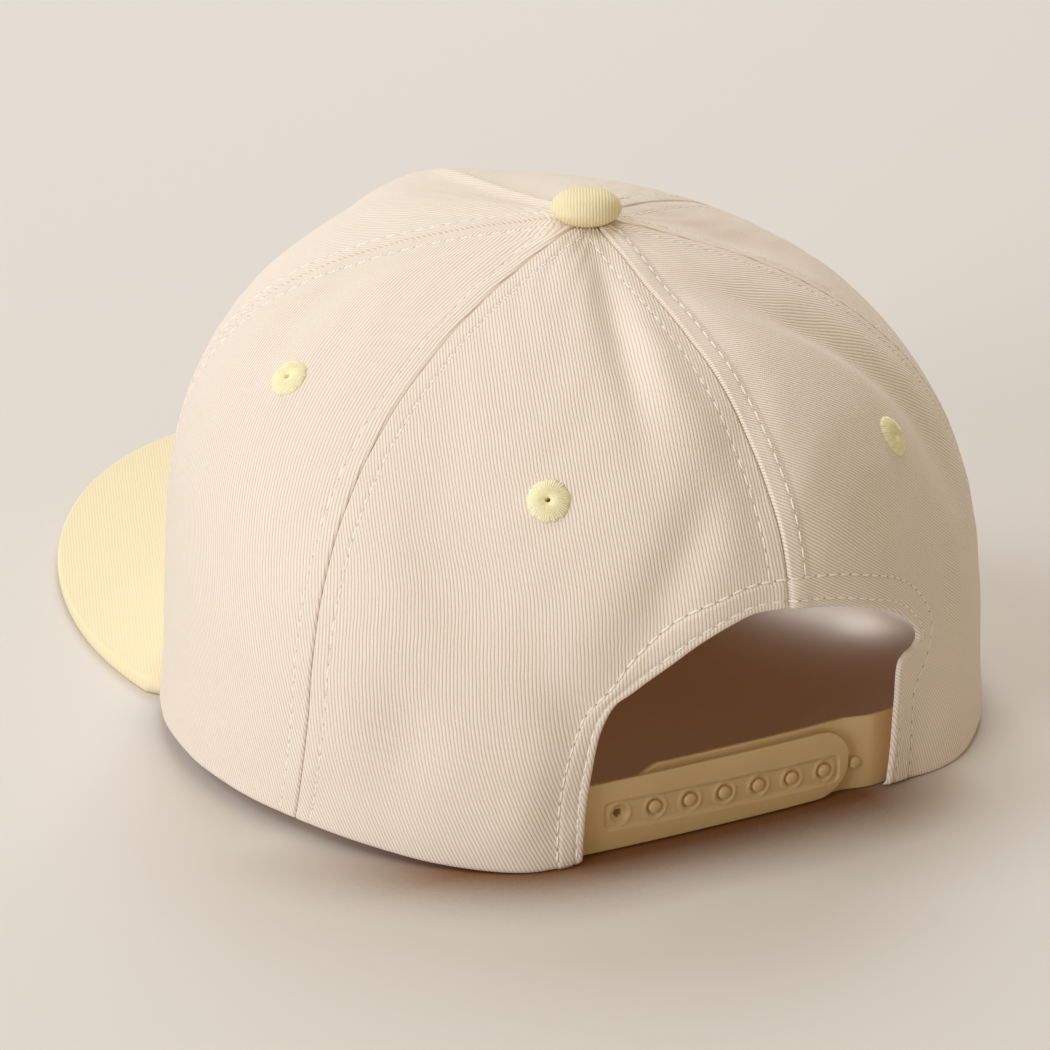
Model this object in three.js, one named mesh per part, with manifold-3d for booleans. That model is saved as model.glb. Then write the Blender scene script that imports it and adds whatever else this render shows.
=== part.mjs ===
// A five-panel twill hat with a flat peak and a snap strap, standing on its rim and its peak.
// Millimetres, +Z up. The peak points to -Y and the wearer's left is +X.
// The crown is worked out about the head's centre; the finished hat is then stood over the origin.

import * as THREE from 'three';
import { mergeVertices } from 'three/addons/utils/BufferGeometryUtils.js';
import Module from 'manifold-3d';

const wasm = await Module();
wasm.setup();

// Driving dimensions

const GAP = 0.3;
const CLOTH = 1.6;

const BUTTON_AXIS_Y = 18.5;
const CROWN_TOP = 101.3;
const BUTTON_HOLE_RADIUS = 3.4;

// One row every 30 degrees, from the centre back (0) to the centre front (180), both sides alike.
// reach: rim radius; hem: height of the rim. The upright curve from the rim to the button bends
// towards two handles. lean, rise: the lower one, past the rim and up, as shares of the run and
// height. shoulder, drop: the upper one, as a share of the run out, and of the height below the top.
const CROWN_ROWS = [
  { at: 0, reach: 83.8, hem: 2.3, lean: 0.40, rise: 0.715, shoulder: 0.86, drop: 0.17 },
  { at: 30, reach: 93.0, hem: 0.0, lean: -0.07, rise: 0.565, shoulder: 0.95, drop: 0.18 },
  { at: 60, reach: 89.6, hem: 3.3, lean: -0.01, rise: 0.36, shoulder: 1.03, drop: 0.17 },
  { at: 90, reach: 82.5, hem: 3.5, lean: -0.07, rise: 0.495, shoulder: 1.12, drop: 0.13 },
  { at: 120, reach: 75.5, hem: 4.1, lean: -0.11, rise: 0.48, shoulder: 1.155, drop: 0.04 },
  { at: 150, reach: 84.7, hem: 5.4, lean: -0.45, rise: 0.83, shoulder: 0.97, drop: 0.05 },
  { at: 180, reach: 93.3, hem: 5.9, lean: -0.535, rise: 1.205, shoulder: 0.935, drop: 0.165 },
];
const ROW_STEP = 30;

const BACK_SEAM = 57;
const FRONT_SEAM = 107.5;
// The seams beside the back panels lean this far forward at the rim, from this rise downwards.
const SEAM_LEAN = { angle: 1.9, rise: 0.25 };

// Each panel from seam to seam, with the steps of its mesh across and up, and whether the opening
// at the back is cut from it.
const PANELS = [
  { name: 'front_panel', from: FRONT_SEAM, to: 360 - FRONT_SEAM, wide_steps: 26, high_steps: 16 },
  { name: 'side_panel_left', from: BACK_SEAM, to: FRONT_SEAM, wide_steps: 10, high_steps: 16 },
  { name: 'side_panel_right', from: -FRONT_SEAM, to: -BACK_SEAM, wide_steps: 10, high_steps: 16 },
  { name: 'back_panel_left', from: 0, to: BACK_SEAM, wide_steps: 15, high_steps: 18, opening: true },
  { name: 'back_panel_right', from: -BACK_SEAM, to: 0, wide_steps: 15, high_steps: 18, opening: true },
];

// Soft folds pressed into the crown. at, rise: the middle of the fold, as an angle (+ on the wearer's
// left) and a share of the way up. slant: its direction, from level towards the left (0) to upright
// (90). long, wide, depth: half its length, half its width and its depth in mm, with a negative
// depth for a swelling.
const FOLDS = [
  { name: 'crease under the button', at: 23, rise: 0.8, slant: 85, long: 22, wide: 5, depth: 2.4 },
  { name: 'swelling beside the crease', at: 12, rise: 0.72, slant: 80, long: 18, wide: 7, depth: -1.2 },
  { name: 'slanting hollow', at: 17, rise: 0.43, slant: 129, long: 15, wide: 6, depth: 1.6 },
  { name: 'hollow along the back seam', at: 5, rise: 0.53, slant: 100, long: 17, wide: 6, depth: 1.3 },
  { name: 'low hollow', at: 45, rise: 0.17, slant: 95, long: 11, wide: 7, depth: 1.4 },
  { name: 'hollow at the tab', at: 25.5, rise: 0.19, slant: 60, long: 9, wide: 5, depth: 1.5 },
  { name: 'wide hollow', at: 43, rise: 0.45, slant: 90, long: 26, wide: 11, depth: 1.3 },
  { name: 'long fold on the right', at: -36, rise: 0.72, slant: 55, long: 27, wide: 6, depth: 2.6 },
  { name: 'wide hollow on the right', at: -44, rise: 0.46, slant: 60, long: 17, wide: 11, depth: 1.8 },
  { name: 'pinch near the top', at: -76, rise: 0.86, slant: 90, long: 14, wide: 6, depth: 1.8 },
  { name: 'low fold on the right', at: -34, rise: 0.22, slant: 90, long: 11, wide: 6, depth: 1.4 },
  { name: 'tuck at the left tab', at: 24.5, rise: 0, slant: 90, long: 40, wide: 13, depth: 3.4 },
  { name: 'tuck at the right tab', at: -22.5, rise: 0, slant: 90, long: 40, wide: 13, depth: 3.4 },
  { name: 'trough on the side', at: 92, rise: 0.73, slant: 70, long: 16, wide: 6, depth: 1.1 },
];

// A fold fades this far through the crown, so that it leaves the far side alone.
const FOLD_THROUGH = 30;

// Outline of the opening at the back: x across, z up. The left tab is the first edge, the right tab
// the last, and the arch between them is drawn out of true, as the soft cloth hangs.
const OPENING = {
  left_tab: [{ x: 35.6, z: -3 }, { x: 34.3, z: 18 }, { x: 32, z: 29 }],
  arch: [{ x: 28.8, z: 33.4 }, { x: 17.8, z: 42.3 }, { x: 4.5, z: 47.6 }, { x: -7, z: 46.5 },
    { x: -20.2, z: 42.6 }, { x: -32.9, z: 35.4 }, { x: -36.9, z: 30.4 }],
  right_tab: [{ x: -34.6, z: 28.9 }, { x: -30.6, z: 27.4 }, { x: -31.6, z: -3 }],
};

// The peak is level across its middle and bends down to both sides, where it touches the ground.
const PEAK = { half_width: 78.3, length: 110.4, centre_y: -44.3, squareness: 1.91, spread: 101 };
const PEAK_THICKNESS = 3;
const PEAK_BEND = { height: 2.5, level_half_width: 16 };
// The peak's root runs this far round from the centre front, tucked under the hem.
const PEAK_ROOT = { spread: 75, tuck: 1.9 };

const BUTTON = { radius: 7.25, skirt: 1.5, height: 6.1, base: 101.15, hollow: 0.9 };
const SHANK = { radius: 1.8, end: 96 };

const EYELETS = [
  { name: 'eyelet_side_left', panel: 'side_panel_left', at: 79, rise: 0.654 },
  { name: 'eyelet_side_right', panel: 'side_panel_right', at: -92, rise: 0.6 },
  { name: 'eyelet_back_left', panel: 'back_panel_left', at: 29.2, rise: 0.518 },
  { name: 'eyelet_back_right', panel: 'back_panel_right', at: -29.2, rise: 0.518 },
];
const EYELET = { radius: 4.1, barrel: 1.8, hole: 0.9, height: 1.1 };
const EYELET_SIDES = 14;

// The strap's two halves run inside the tabs as far round as tail and cross between them with a bow.
// The half with pegs is the wider one.
const STRAP = { thickness: 1.4, tail: 34, bow: 0.9 };
const HOLE_HALF = { bottom: 0.5, width: 13.9, corner: 7, tip_x: -23.4 };
const PEG_HALF = { bottom: 0.15, width: 15.2, corner: 4, tip_x: 22.4 };
const STRAP_HOLES = { count: 7, first_x: 26.9, pitch: 7.45, radius: 1.8, level: 7.4 };
const PEG = { radius: 1.4, rise: 0.35 };
// Across this stretch the half with pegs steps back from the right tab to lie behind the other.
const STEP_BACK = { from: -29.5, to: -22 };

// The sweatband lies an inset inside the cloth, and further in where it passes inside the strap.
const SWEATBAND = { thickness: 1.2, height: 27, lift: 1.2, inset: 0.7, strap_inset: 3.9 };
const SWEATBAND_ENDS = { left: 27, right: 23 };

// The crown's surface

const radians = THREE.MathUtils.degToRad;

/** A column of CROWN_ROWS at any angle, as a smooth curve through the rows. */
function crownColumn(column, angle) {
  const turn = Math.abs(((angle + 180) % 360 + 360) % 360 - 180) / ROW_STEP;
  const last = CROWN_ROWS.length - 1;
  const start = Math.min(Math.floor(turn), last - 1);
  const share = turn - start;
  const row = (index) => CROWN_ROWS[index < 0 ? -index : index > last ? 2 * last - index : index][column];
  const [a, b, c, d] = [row(start - 1), row(start), row(start + 1), row(start + 2)];
  const bend = share * (2 * a - 5 * b + 4 * c - d + share * (3 * (b - c) + d - a));
  return b + 0.5 * share * (c - a + bend);
}

/** The crown without its folds, at an angle and a share of the way up from rim to button. */
function smoothCrown(angle, rise) {
  const reach = crownColumn('reach', angle);
  const hem = crownColumn('hem', angle);
  const height = CROWN_TOP - hem;
  const down = 1 - rise;
  const [b0, b1, b2, b3] = [down ** 3, 3 * rise * down ** 2, 3 * rise ** 2 * down, rise ** 3];
  const out = b0 + b1 * (1 + crownColumn('lean', angle)) + b2 * crownColumn('shoulder', angle);
  const up = b1 * crownColumn('rise', angle) + b2 * (1 - crownColumn('drop', angle)) + b3;
  const x = reach * Math.sin(radians(angle));
  const y = reach * Math.cos(radians(angle)) - BUTTON_AXIS_Y;
  return new THREE.Vector3(x * out, BUTTON_AXIS_Y + y * out, hem + height * up);
}

/** Unit directions on a surface: side towards a growing angle, up the panel, and out of the cloth. */
function crownFrame(surface, angle, rise) {
  const [turn, climb] = [0.2, 0.002];
  const side = surface(angle + turn, rise).sub(surface(angle - turn, rise)).normalize();
  const up = surface(angle, Math.min(rise + climb, 1)).sub(surface(angle, rise - climb)).normalize();
  const out = new THREE.Vector3().crossVectors(up, side).normalize();
  return { side, up: new THREE.Vector3().crossVectors(side, out).normalize(), out };
}

const placedFolds = FOLDS.map((fold) => {
  const { side, up, out } = crownFrame(smoothCrown, fold.at, fold.rise);
  const slant = radians(fold.slant);
  const along = side.clone().multiplyScalar(Math.cos(slant)).addScaledVector(up, Math.sin(slant));
  const across = side.clone().multiplyScalar(-Math.sin(slant)).addScaledVector(up, Math.cos(slant));
  return { ...fold, middle: smoothCrown(fold.at, fold.rise), along, across, out };
});

/** The outer face of the cloth, folds and all. */
function crown(angle, rise) {
  const point = smoothCrown(angle, rise);
  let depth = 0;
  for (const fold of placedFolds) {
    const away = point.clone().sub(fold.middle);
    const along = away.dot(fold.along) / fold.long;
    const across = away.dot(fold.across) / fold.wide;
    const through = away.dot(fold.out) / FOLD_THROUGH;
    depth += fold.depth * Math.exp(-(along ** 2) - across ** 2 - through ** 2);
  }
  return point.addScaledVector(crownFrame(smoothCrown, angle, rise).out, -depth);
}

/** A point under the outer face by a depth. */
function underCrown(angle, rise, depth) {
  return crown(angle, rise).addScaledVector(crownFrame(crown, angle, rise).out, -depth);
}

/** The share of the way up at which the smooth crown stands a height above its hem. */
function riseAt(angle, height) {
  const level = crownColumn('hem', angle) + height;
  let [low, high] = [0, 0.9];
  for (let step = 0; step < 20; step += 1) {
    const middle = (low + high) / 2;
    if (smoothCrown(angle, middle).z < level) low = middle;
    else high = middle;
  }
  return low;
}

/** The share of the way up at which a panel ends, at the hole under the button. */
function topRise(angle) {
  const run = smoothCrown(angle, 0).setZ(0).distanceTo(new THREE.Vector3(0, BUTTON_AXIS_Y, 0));
  return 1 - BUTTON_HOLE_RADIUS / (3 * run * crownColumn('shoulder', angle));
}

// Solids

/** A closed sheet between two faces: place(u, v, face) gives face 0 outside and face 1 inside. */
function sheet(uSteps, vSteps, place) {
  const positions = [];
  const triangles = [];
  const stride = vSteps + 1;
  const faceSize = (uSteps + 1) * stride;
  const index = (u, v, face) => face * faceSize + u * stride + v;
  const quad = (a, b, c, d) => triangles.push(a, b, c, a, c, d);
  for (const face of [0, 1]) {
    for (let u = 0; u <= uSteps; u += 1) {
      for (let v = 0; v <= vSteps; v += 1) positions.push(...place(u / uSteps, v / vSteps, face).toArray());
    }
  }
  for (let u = 0; u < uSteps; u += 1) {
    for (let v = 0; v < vSteps; v += 1) {
      quad(index(u, v, 0), index(u, v + 1, 0), index(u + 1, v + 1, 0), index(u + 1, v, 0));
      quad(index(u, v, 1), index(u + 1, v, 1), index(u + 1, v + 1, 1), index(u, v + 1, 1));
    }
  }
  for (let u = 0; u < uSteps; u += 1) {
    quad(index(u, 0, 0), index(u + 1, 0, 0), index(u + 1, 0, 1), index(u, 0, 1));
    quad(index(u, vSteps, 0), index(u, vSteps, 1), index(u + 1, vSteps, 1), index(u + 1, vSteps, 0));
  }
  for (let v = 0; v < vSteps; v += 1) {
    quad(index(0, v, 0), index(0, v, 1), index(0, v + 1, 1), index(0, v + 1, 0));
    quad(index(uSteps, v, 0), index(uSteps, v + 1, 0), index(uSteps, v + 1, 1), index(uSteps, v, 1));
  }
  const geometry = new THREE.BufferGeometry();
  geometry.setAttribute('position', new THREE.Float32BufferAttribute(positions, 3));
  geometry.setIndex(triangles);
  return geometry;
}

function toSolid(geometry) {
  const bare = geometry.clone();
  bare.deleteAttribute('normal');
  bare.deleteAttribute('uv');
  const merged = mergeVertices(bare);
  const vertProperties = new Float32Array(merged.attributes.position.array);
  const triVerts = new Uint32Array(merged.index.array);
  return new wasm.Manifold(new wasm.Mesh({ numProp: 3, vertProperties, triVerts }));
}

function toGeometry(solid) {
  const { vertProperties, triVerts } = solid.getMesh();
  const geometry = new THREE.BufferGeometry();
  geometry.setAttribute('position', new THREE.Float32BufferAttribute(vertProperties, 3));
  geometry.setIndex([...triVerts]);
  return geometry;
}

/** A geometry less the geometries cut from it. */
function cut(geometry, cutters) {
  return toGeometry(cutters.reduce((solid, cutter) => solid.subtract(toSolid(cutter)), toSolid(geometry)));
}

/** A geometry made along +Z, moved so that +Z lies along the cloth's outward direction at a place. */
function onCrown(geometry, angle, rise) {
  const { side, up, out } = crownFrame(crown, angle, rise);
  const basis = new THREE.Matrix4().makeBasis(side.negate(), up, out);
  return geometry.applyMatrix4(basis.setPosition(crown(angle, rise)));
}

// Crown panels

/** A seam's angle at a share of the way up. */
function seamAngle(seam, rise) {
  if (Math.abs(seam) !== BACK_SEAM) return seam;
  return seam + Math.sign(seam) * SEAM_LEAN.angle * Math.max(0, 1 - rise / SEAM_LEAN.rise) ** 2;
}

/** A panel between two seams, half a gap short of each. */
function panel(from, to, uSteps, vSteps) {
  return sheet(uSteps, vSteps, (u, v, face) => {
    const rise = v * topRise(THREE.MathUtils.lerp(from, to, u));
    const [start, end] = [seamAngle(from, rise), seamAngle(to, rise)];
    const middle = THREE.MathUtils.lerp(start, end, u);
    const stretch = crown(middle + 0.5, rise).distanceTo(crown(middle - 0.5, rise));
    const short = Math.min(GAP / 2 / stretch, (end - start) / 4);
    const angle = THREE.MathUtils.lerp(start + short, end - short, u);
    const point = underCrown(angle, rise, face * CLOTH);
    return point.setZ(Math.max(point.z, crownColumn('hem', angle)));
  });
}

function openingCutter() {
  const shape = new THREE.Shape();
  const [foot, ...left] = OPENING.left_tab;
  shape.moveTo(foot.x, foot.z);
  for (const { x, z } of left) shape.lineTo(x, z);
  shape.splineThru(OPENING.arch.map(({ x, z }) => new THREE.Vector2(x, z)));
  for (const { x, z } of OPENING.right_tab) shape.lineTo(x, z);
  const depth = 60;
  const geometry = new THREE.ExtrudeGeometry(shape, { depth, bevelEnabled: false, curveSegments: 16 });
  return geometry.rotateX(Math.PI / 2).translate(0, 120, 0);
}

function eyeletHole({ at, rise }) {
  const bore = new THREE.CylinderGeometry(EYELET.barrel + GAP, EYELET.barrel + GAP, 4 * CLOTH, 12);
  return onCrown(bore.rotateX(Math.PI / 2), at, rise);
}

function crownPanel({ name, from, to, wide_steps, high_steps, opening }) {
  const holes = EYELETS.filter((eyelet) => eyelet.panel === name).map(eyeletHole);
  return cut(panel(from, to, wide_steps, high_steps), opening ? [openingCutter(), ...holes] : holes);
}

// Trim

function eyelet({ at, rise }) {
  const { radius, barrel, hole, height } = EYELET;
  const foot = -CLOTH - GAP;
  const profile = [
    [hole, foot], [barrel, foot], [barrel, GAP], [radius, GAP], [radius - 0.3, GAP + 0.4],
    [(radius + hole) / 2, height], [hole + 0.4, height - 0.2], [hole, foot],
  ].map(([x, y]) => new THREE.Vector2(x, y));
  return onCrown(new THREE.LatheGeometry(profile, EYELET_SIDES).rotateX(Math.PI / 2), at, rise);
}

function topButton() {
  const { radius, skirt, height, base, hollow } = BUTTON;
  const domeSteps = 7;
  const shank = [[0, SHANK.end], [SHANK.radius, SHANK.end], [SHANK.radius, base + hollow]];
  const profile = [...shank, [radius - 0.2, base]];
  for (let step = 0; step <= domeSteps; step += 1) {
    const turn = (step / domeSteps) * Math.PI / 2;
    profile.push([radius * Math.cos(turn), base + skirt + (height - skirt) * Math.sin(turn)]);
  }
  profile[profile.length - 1][0] = 0;
  const points = profile.map(([x, y]) => new THREE.Vector2(x, y));
  return new THREE.LatheGeometry(points, 28).rotateX(Math.PI / 2).translate(0, BUTTON_AXIS_Y, 0);
}

/** Height of the peak's underside across the hat. */
function peakLevel(x) {
  const { height, level_half_width } = PEAK_BEND;
  const past = Math.max(0, Math.abs(x) - level_half_width) / (PEAK.half_width - level_half_width);
  return height * (1 - Math.min(1, past ** 2));
}

/** The peak's free edge, a rounded oval from one temple round the front to the other. */
function peakEdge(u) {
  const turn = radians(PEAK.spread * u);
  const power = 2 / PEAK.squareness;
  const x = PEAK.half_width * Math.sign(u) * Math.abs(Math.sin(turn)) ** power;
  const y = PEAK.centre_y - PEAK.length * Math.sign(Math.cos(turn)) * Math.abs(Math.cos(turn)) ** power;
  return new THREE.Vector3(x, y, 0);
}

function peak() {
  return sheet(32, 6, (u, v, face) => {
    const around = 2 * u - 1;
    const root = smoothCrown(180 - PEAK_ROOT.spread * around, 0);
    root.multiplyScalar(1 - PEAK_ROOT.tuck / root.length());
    const point = root.lerp(peakEdge(around), v);
    point.z = peakLevel(point.x) + (1 - face) * PEAK_THICKNESS;
    return point;
  });
}

// Strap

const strapRoute = (() => {
  const heel = (angle) => [0.01, 0.06, 0.11]
    .map((rise) => underCrown(angle, rise, CLOTH + GAP).setZ(0))
    .reduce((inner, point) => (point.length() < inner.length() ? point : inner));
  const ends = [STRAP.tail, 30.5, 27, 24].map(heel);
  const waist = ends[3].y + STRAP.bow;
  const middle = [new THREE.Vector3(14, waist, 0), new THREE.Vector3(-14, waist, 0)];
  const right = [24, 27, 30.5, STRAP.tail].map((angle) => heel(-angle));
  return new THREE.CatmullRomCurve3([...ends, ...middle, ...right]);
})();

/** The share of the strap's route at which it passes a place across the back. */
function routeShare(x) {
  let [low, high] = [0, 1];
  for (let step = 0; step < 24; step += 1) {
    const middle = (low + high) / 2;
    if (strapRoute.getPointAt(middle).x > x) low = middle;
    else high = middle;
  }
  return low;
}

/** A place on the strap: along its route, at a height, and under its outer face by a depth. */
function onStrap(share, z, depth) {
  const point = strapRoute.getPointAt(share);
  const ahead = strapRoute.getTangentAt(share);
  const inward = new THREE.Vector3(ahead.y, -ahead.x, 0).normalize();
  if (inward.y > 0) inward.negate();
  return point.addScaledVector(inward, depth).setZ(z);
}

/** Half the height of a strap near its tip, for a rounded or chamfered end. */
function endTaper(distance, { width, corner }, round) {
  const half = width / 2;
  if (distance >= corner) return half;
  const share = Math.max(distance, 0) / corner;
  return round ? half * Math.sqrt(1 - (1 - share) ** 2) + 0.2 : half - (corner - distance) * 0.5;
}

/** A half of the strap from its heel to its tip, at a depth under the outer face that may vary with x. */
function strapBand(from, half_strap, depthAt, round) {
  const to = routeShare(half_strap.tip_x);
  const length = strapRoute.getLength();
  const facing = Math.sign(to - from);
  return sheet(34, 1, (u, v, face) => {
    const reach = 1 - (1 - u) ** 1.6;
    const share = THREE.MathUtils.lerp(from, to, reach);
    const half = endTaper(Math.abs(to - share) * length, half_strap, round);
    const z = half_strap.bottom + half_strap.width / 2 + facing * (1 - 2 * v) * half;
    return onStrap(share, z, depthAt(strapRoute.getPointAt(share).x) + face * STRAP.thickness);
  });
}

/** A round bar through the strap at one of the hole places, between two depths. */
function strapBar(index, radius, from, to, sides) {
  const share = routeShare(STRAP_HOLES.first_x - index * STRAP_HOLES.pitch);
  const bar = new THREE.CylinderGeometry(radius, radius, to - from, sides);
  const middle = onStrap(share, STRAP_HOLES.level, (from + to) / 2);
  const ahead = strapRoute.getTangentAt(share);
  return bar.rotateZ(Math.atan2(ahead.y, ahead.x)).translate(middle.x, middle.y, middle.z);
}

function strapWithHoles() {
  const band = strapBand(0, HOLE_HALF, () => 0, true);
  const holes = Array.from({ length: STRAP_HOLES.count }, (_, index) =>
    strapBar(index, STRAP_HOLES.radius, -1, STRAP.thickness + 1, 12));
  return cut(band, holes);
}

function strapWithPegs() {
  const back = STRAP.thickness + GAP;
  const depthAt = (x) => back * THREE.MathUtils.smoothstep(x, STEP_BACK.from, STEP_BACK.to);
  let solid = toSolid(strapBand(1, PEG_HALF, depthAt, false));
  for (let index = 1; index <= STRAP_HOLES.count; index += 1) {
    solid = solid.add(toSolid(strapBar(index, PEG.radius, -PEG.rise, back + STRAP.thickness / 2, 12)));
  }
  return toGeometry(solid);
}

function sweatband() {
  const { thickness, height, lift, inset, strap_inset } = SWEATBAND;
  return sheet(48, 3, (u, v, face) => {
    const angle = THREE.MathUtils.lerp(SWEATBAND_ENDS.left, 360 - SWEATBAND_ENDS.right, u);
    const fromBack = Math.min(angle, 360 - angle);
    const clear = THREE.MathUtils.lerp(strap_inset, inset, THREE.MathUtils.smoothstep(fromBack, 36, 50));
    return underCrown(angle, riseAt(angle, lift + v * height), CLOTH + clear + face * thickness);
  });
}

// Materials

const cream = new THREE.MeshStandardMaterial({ color: '#f1e3cf', roughness: 0.95, metalness: 0 });
const yellow = new THREE.MeshStandardMaterial({ color: '#f3e5b2', roughness: 0.95, metalness: 0 });
const thread = new THREE.MeshStandardMaterial({ color: '#f0e49f', roughness: 0.8, metalness: 0 });
const lining = new THREE.MeshStandardMaterial({ color: '#d9c3a3', roughness: 0.95, metalness: 0 });
const plastic = new THREE.MeshStandardMaterial({ color: '#c9ab7c', roughness: 0.45, metalness: 0 });

// Assembly

const hat = new THREE.Group();

function addPiece(name, geometry, material) {
  const mesh = new THREE.Mesh(geometry, material);
  mesh.name = name;
  hat.add(mesh);
}

for (const row of PANELS) addPiece(row.name, crownPanel(row), cream);
addPiece('sweatband', sweatband(), lining);
addPiece('peak', peak(), yellow);
addPiece('top_button', topButton(), yellow);
for (const place of EYELETS) addPiece(place.name, eyelet(place), thread);
addPiece('strap_with_holes', strapWithHoles(), plastic);
addPiece('strap_with_pegs', strapWithPegs(), plastic);

const extent = new THREE.Box3().setFromObject(hat);
const centre = extent.getCenter(new THREE.Vector3());
hat.position.set(-centre.x, -centre.y, -extent.min.z);

export default hat;
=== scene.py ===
"""A twill hat with a tall front panel, a flat peak and a snap strap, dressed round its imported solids.

Everything is in metres in the row's frame: +Z up, the peak towards -Y, the wearer's left towards +X.
A place on the crown is an angle in degrees (0 at the centre back, + towards the wearer's left, 180 at
the centre front) and a rise, the share of the way up from the rim to the top button.
"""

import logging
import math
from collections.abc import Callable
from dataclasses import dataclass
from enum import Enum

import bmesh
import bpy
import numpy as np
from mathutils import Matrix, Vector


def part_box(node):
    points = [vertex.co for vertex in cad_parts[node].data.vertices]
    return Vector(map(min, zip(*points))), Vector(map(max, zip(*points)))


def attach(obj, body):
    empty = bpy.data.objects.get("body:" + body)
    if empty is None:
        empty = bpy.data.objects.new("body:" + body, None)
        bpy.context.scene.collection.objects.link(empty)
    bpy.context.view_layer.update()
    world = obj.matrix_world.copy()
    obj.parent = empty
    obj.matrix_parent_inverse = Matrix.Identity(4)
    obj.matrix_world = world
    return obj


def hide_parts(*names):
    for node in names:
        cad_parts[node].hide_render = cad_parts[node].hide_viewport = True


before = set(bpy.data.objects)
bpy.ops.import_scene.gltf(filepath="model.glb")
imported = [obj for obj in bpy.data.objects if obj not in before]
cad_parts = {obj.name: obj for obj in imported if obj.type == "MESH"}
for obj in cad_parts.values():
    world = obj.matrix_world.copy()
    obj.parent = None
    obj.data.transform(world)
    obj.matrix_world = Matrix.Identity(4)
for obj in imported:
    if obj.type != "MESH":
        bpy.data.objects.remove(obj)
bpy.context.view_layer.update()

Array = np.ndarray
Place = Callable[[Array, Array], tuple[Array, Array]]
Triple = tuple[float, float, float]
Piece = bpy.types.Object
BMesh = bmesh.types.BMesh
Material = bpy.types.Material
Socket = bpy.types.NodeSocket

BODY = "root"
UV_NAME = "cloth"
LOG = logging.getLogger("hat")


class Slot(Enum):
    """The record's material slots."""

    CROWN = "crown_twill"
    PEAK = "peak_twill"
    THREAD = "eyelet_thread"
    SWEATBAND = "sweatband_cloth"
    STRAP = "strap_plastic"


class Side(Enum):
    """A side of the hat, as the sign of its X."""

    LEFT = 1
    RIGHT = -1


# Small sums


def smooth_step(low: float, high: float, value: Array) -> Array:
    """A soft rise from 0 at low to 1 at high."""
    share = np.clip((value - low) / (high - low), 0.0, 1.0)
    return share * share * (3.0 - 2.0 * share)


def bump(middle: float, half_width: float, value: Array) -> Array:
    """A bell of height 1 round a middle."""
    return np.exp(-(((value - middle) / half_width) ** 2))


def unit(vectors: Array) -> Array:
    """Vectors of length 1 along the last axis."""
    return vectors / np.linalg.norm(vectors, axis=-1, keepdims=True)


def wrapped(angle: Array) -> Array:
    """Angles brought between -180 and 180 degrees."""
    return (angle + 180.0) % 360.0 - 180.0


def rolled(share: Array) -> Array:
    """How far a rounded edge has turned away, as a share of its radius, at shares of the way over."""
    return 1.0 - np.sqrt(1.0 - share**2)


def between(a: Array, b: Array, c: Array, d: Array, share: Array) -> Array:
    """A smooth curve's places from b to c, where a comes before them and d after."""
    bend = 2 * a - 5 * b + 4 * c - d + share * (3 * (b - c) + d - a)
    return b + 0.5 * share * (c - a + share * bend)


def through_points(points: Array, share: Array) -> Array:
    """A smooth curve through points.

    Args:
        points: One point to a row.
        share: Places along the curve, from 0 to 1.

    Returns:
        One point to a row for each share.
    """
    padded = np.vstack([2 * points[0] - points[1], points, 2 * points[-1] - points[-2]])
    place = np.clip(share, 0.0, 1.0) * (len(points) - 1)
    start = np.minimum(place.astype(int), len(points) - 2)
    part = (place - start)[:, None]
    return between(*(padded[start + step] for step in range(4)), part)


def even_steps(points: Array, spacing: float, start: float) -> tuple[Array, int]:
    """Places along a line of points at an even spacing.

    Args:
        points: One point to a row.
        spacing: The distance wanted between places.
        start: Where the first place lies, as a share of the spacing.

    Returns:
        The row numbers of the places, as fractions, and how many there are.
    """
    lengths = np.linalg.norm(np.diff(points, axis=0), axis=1)
    reached = np.concatenate([[0.0], np.cumsum(lengths)])
    count = max(1, int(reached[-1] / spacing))
    places = (np.arange(count) + start) * reached[-1] / count
    return np.interp(places, reached, np.arange(len(points))), count


# The crown's surface


@dataclass(frozen=True)
class Column:
    """One upright section of the crown, both sides alike.

    reach: rim radius. hem: height of the rim. The curve from the rim to the button bends towards
    two handles. lean, rise: the lower one, past the rim and up, as shares of the run and height.
    shoulder, drop: the upper one, as a share of the run out, and of the height below the top.
    """

    reach: float
    hem: float
    lean: float
    rise: float
    shoulder: float
    drop: float


@dataclass(frozen=True)
class Fold:
    """A soft fold pressed into the crown.

    at, turn_up: the angle and the rise of its middle. slant: its direction in degrees, from level
    towards the left (0) to upright (90). long, wide: half its length and width. depth: how deep it
    is, negative for a swelling.
    """

    name: str
    at: float
    turn_up: float
    slant: float
    long: float
    wide: float
    depth: float


# One column every 30 degrees, from the centre back to the centre front.
COLUMNS = (
    Column(0.0838, 0.0023, 0.40, 0.715, 0.86, 0.17),
    Column(0.0930, 0.0000, -0.07, 0.565, 0.95, 0.18),
    Column(0.0896, 0.0033, -0.01, 0.36, 1.03, 0.17),
    Column(0.0825, 0.0035, -0.07, 0.495, 1.12, 0.13),
    Column(0.0755, 0.0041, -0.11, 0.48, 1.155, 0.04),
    Column(0.0847, 0.0054, -0.45, 0.83, 0.97, 0.05),
    Column(0.0933, 0.0059, -0.535, 1.205, 0.935, 0.165),
)
COLUMN_STEP = 30.0
# The crown's mean radius, and the wall of its solids.
MEAN_RADIUS = 0.085
CROWN_WALL = 0.0016

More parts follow.
